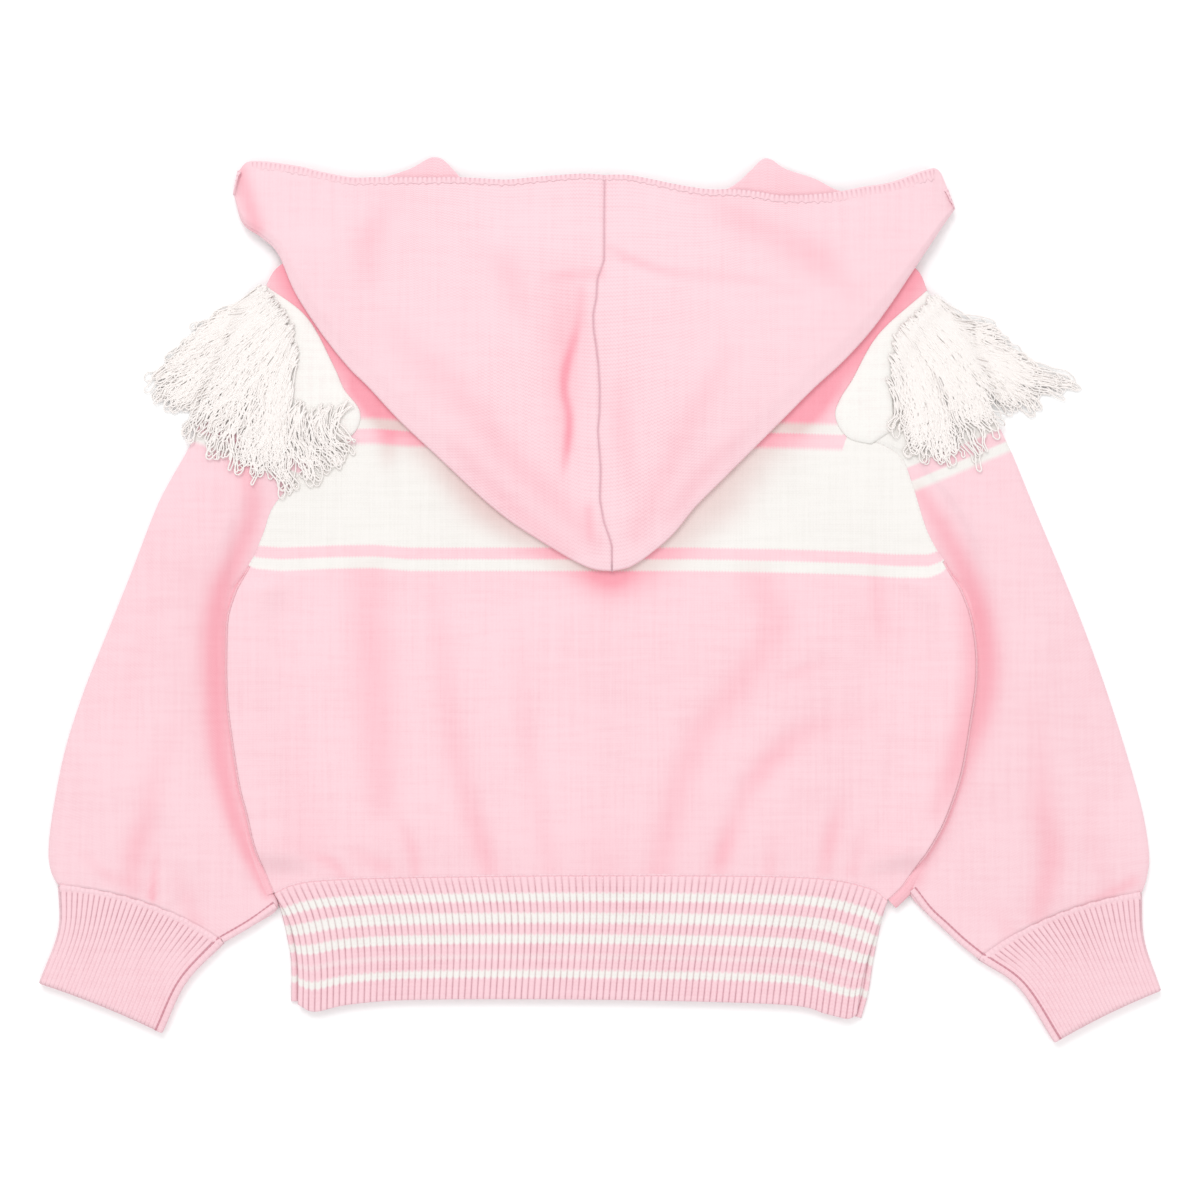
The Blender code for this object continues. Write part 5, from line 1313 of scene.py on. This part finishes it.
def loop_paths(side, seed):
    """Plan paths of all loops, and the loops' levels. A path runs out on a bowed line, turns round
    in a half circle and comes back a turn's width beside it."""
    rng = np.random.default_rng(seed)
    count = LOCKS * LOOPS_A_LOCK
    lock = np.repeat(np.arange(LOCKS), LOOPS_A_LOCK)
    share = np.clip((lock + 0.5) / LOCKS + rng.normal(0.0, SHARE_SPREAD, count), 0.0, 1.0)
    table = np.array(LOOPS[side], float)
    rows = read(share, table[:, 0], table[:, 1:])
    root = rows[:, :2] + near_normal(rng, ROOT_SPREAD, (count, 2))
    tip = (rows[:, 2:4] + near_normal(rng, LOCK_SPREAD, (LOCKS, 2))[lock]
           + near_normal(rng, LOOP_SPREAD, (count, 2)))
    length = rng.uniform(*LENGTHS, LOCKS)[lock] * rng.uniform(*LOOP_LENGTHS, count)
    chord = length[:, None] * (tip - root)
    size = np.linalg.norm(chord, axis=1)[:, None]
    ahead = unit(chord)
    beside = HANDS[side] * quarter(ahead)
    root = root - ROOT_TUCK * ahead
    t = np.linspace(0.0, 1.0, LEG_STEPS)[None]
    bow = rows[:, 4:] + rng.normal(0.0, LOCK_BOW, (LOCKS, 1))[lock] + rng.normal(0.0, LOOP_BOW, (count, 1))
    waves = sum(amount * np.sin(2 * np.pi * (t * size / pitch + rng.uniform(0, 1, (count, 1))))
                for amount, pitch in WAVES)
    curl, ringlet = (np.interp(share, (0.0, 1.0), ends[side])[:, None] for ends in (CURL, RINGLET))
    aside = bow * 4 * t * (1 - t) + curl * waves * t**WAVE_GROWS
    phase = 2 * np.pi * (t * size / RINGLET_PITCH + rng.uniform(0, 1, (count, 1)))
    round_by = ringlet * rng.uniform(0, 1, (count, 1)) * t**RINGLET_GROWS
    leg = (root[:, None] + t[..., None] * (chord + ROOT_TUCK * ahead)[:, None]
           + (round_by * np.cos(phase))[..., None] * ahead[:, None]
           + (aside + round_by * np.sin(phase))[..., None] * beside[:, None])
    apart = rng.uniform(*TURN_WIDTHS, (count, 1)) * t**APART_GROWS
    apart = apart + APART_WAVE * curl * np.sin(APART_TURNS * t + APART_PHASE * share[:, None])
    back_leg = leg + apart[..., None] * beside[:, None]
    angle = np.linspace(0.0, np.pi, TURN_STEPS + 2)[1:-1]
    radius = 0.5 * np.linalg.norm(back_leg[:, -1] - leg[:, -1], axis=1)[:, None]
    middle = 0.5 * (back_leg[:, -1] + leg[:, -1])
    turn = (middle[:, None] + (TURN_LONG * radius * np.sin(angle))[..., None] * ahead[:, None]
            - (radius * np.cos(angle))[..., None] * beside[:, None])
    level = rng.uniform(0.0, YARN_PILE, count)
    return np.concatenate((leg, turn, back_leg[:, ::-1]), axis=1), level


def settled(paths, level, under):
    """Heights of the loops: over what lies below, and falling only gently on the way out and back."""
    rest = height_at(under, paths)
    rest = np.where(rest > 0, rest + FRINGE_CLEAR, FLOOR_CLEAR) + level[:, None]
    falling = FRINGE_FALL * from_ends(paths)
    half = paths.shape[1] // 2
    legs = [np.maximum.accumulate(leg, axis=1)
            for leg in ((rest + falling)[:, :half], (rest + falling)[:, :half - 1:-1])]
    return np.concatenate((legs[0], legs[1][:, ::-1]), axis=1) - falling


def yarn_piece(name, points):
    """All the loops as tubes of a few sides, in one mesh."""
    ahead = unit(np.gradient(points, axis=1))
    beside = unit(np.cross(ahead, (0.0, 0.0, 1.0)))
    angle = 2 * np.pi * np.arange(YARN_SIDES)[:, None] / YARN_SIDES
    circle = np.cos(angle) * beside[:, :, None] + np.sin(angle) * np.cross(beside, ahead)[:, :, None]
    tube = points[:, :, None] + YARN_RADIUS * circle
    ids = np.arange(tube[..., 0].size).reshape(tube.shape[:3])
    faces = (quads(np.concatenate((ids, ids[..., :1]), axis=2)), ids[:, 0, ::-1], ids[:, -1])
    mesh = bpy.data.meshes.new(name)
    mesh.from_pydata((tube.reshape(-1, 3) * MM).tolist(), [], np.concatenate(faces).tolist())
    return finish_mesh(name, mesh)


wool = Finish("white wool yarn")
wool.surface(wool.mix(wool.noise(FUZZ_SCALE, 1.0), YARN_WHITE, YARN_SHADE), roughness=0.95, specular=0.1,
             sheen=0.35)
for seed, side in enumerate(HANDS, start=FIRST_SEED):
    under = height_map([back, sleeves[side], bands[side]])
    paths, level = loop_paths(side, seed)
    piece = yarn_piece("fringe_yarn_" + side, with_height(paths, settled(paths, level, under)))
    dress(piece, wool.material, "white_yarn")

# %% [markdown]

# %% [markdown]
# ## Floor, light and camera
# The cardigan lies on a plain pale floor. A large soft light stands above it towards its hood,
# and the world adds an even light from all round, so the shadows stay soft and faint. The camera
# looks straight down through a long lens.

# %% Floor, light and camera
FLOOR_SIDE, FLOOR_LOW, FLOOR_WHITE = 8.0, 0.0003, 0.98
WORLD_LIGHT = 0.84
VIEW_WIDTH, LENS, SENSOR, CLIP_START = 0.504, 85.0, 36.0, 0.01
# place x, y, z, side, power in watts
LIGHTS = {"key": (-0.5, 1.5, 1.9, 1.3, 20.0), "fill": (0.9, -1.2, 2.2, 2.0, 9.0)}


def add(name, data, place=(0.0, 0.0, 0.0)):
    """Put a new object into the scene."""
    thing = bpy.data.objects.new(name, data)
    thing.location = place
    bpy.context.scene.collection.objects.link(thing)
    return thing


floor_mesh = bpy.data.meshes.new("floor")
half = FLOOR_SIDE / 2
corners = [(x * half, y * half, -FLOOR_LOW) for x, y in ((-1, -1), (1, -1), (1, 1), (-1, 1))]
floor_mesh.from_pydata(corners, [], [(0, 1, 2, 3)])
floor_finish = Finish("plain white floor")
floor_finish.surface((FLOOR_WHITE, FLOOR_WHITE, FLOOR_WHITE, 1.0), roughness=1.0, specular=0.0, sheen=0.0)
floor_mesh.materials.append(floor_finish.material)
add("floor", floor_mesh)

world = bpy.data.worlds.new("even light")
world.use_nodes = True
world.node_tree.nodes["Background"].inputs["Strength"].default_value = WORLD_LIGHT
world.node_tree.nodes["Background"].inputs["Color"].default_value = (1.0, 1.0, 1.0, 1.0)
bpy.context.scene.world = world

for name, (x, y, z, side, power) in LIGHTS.items():
    lamp = bpy.data.lights.new(name, "AREA")
    lamp.shape, lamp.size, lamp.energy = "DISK", side, power
    light = add(name, lamp, (x, y, z))
    light.rotation_euler = (-light.location).to_track_quat("-Z", "Y").to_euler()

lens = bpy.data.cameras.new("camera")
lens.lens, lens.sensor_width, lens.clip_start = LENS, SENSOR, CLIP_START
camera = add("camera", lens, (0.0, 0.0, VIEW_WIDTH / SENSOR * LENS + FLAT * MM))
bpy.context.scene.camera = camera
bpy.context.scene.view_settings.view_transform = "Standard"
print(f"the camera is {camera.location.z:.3f} m above the floor")
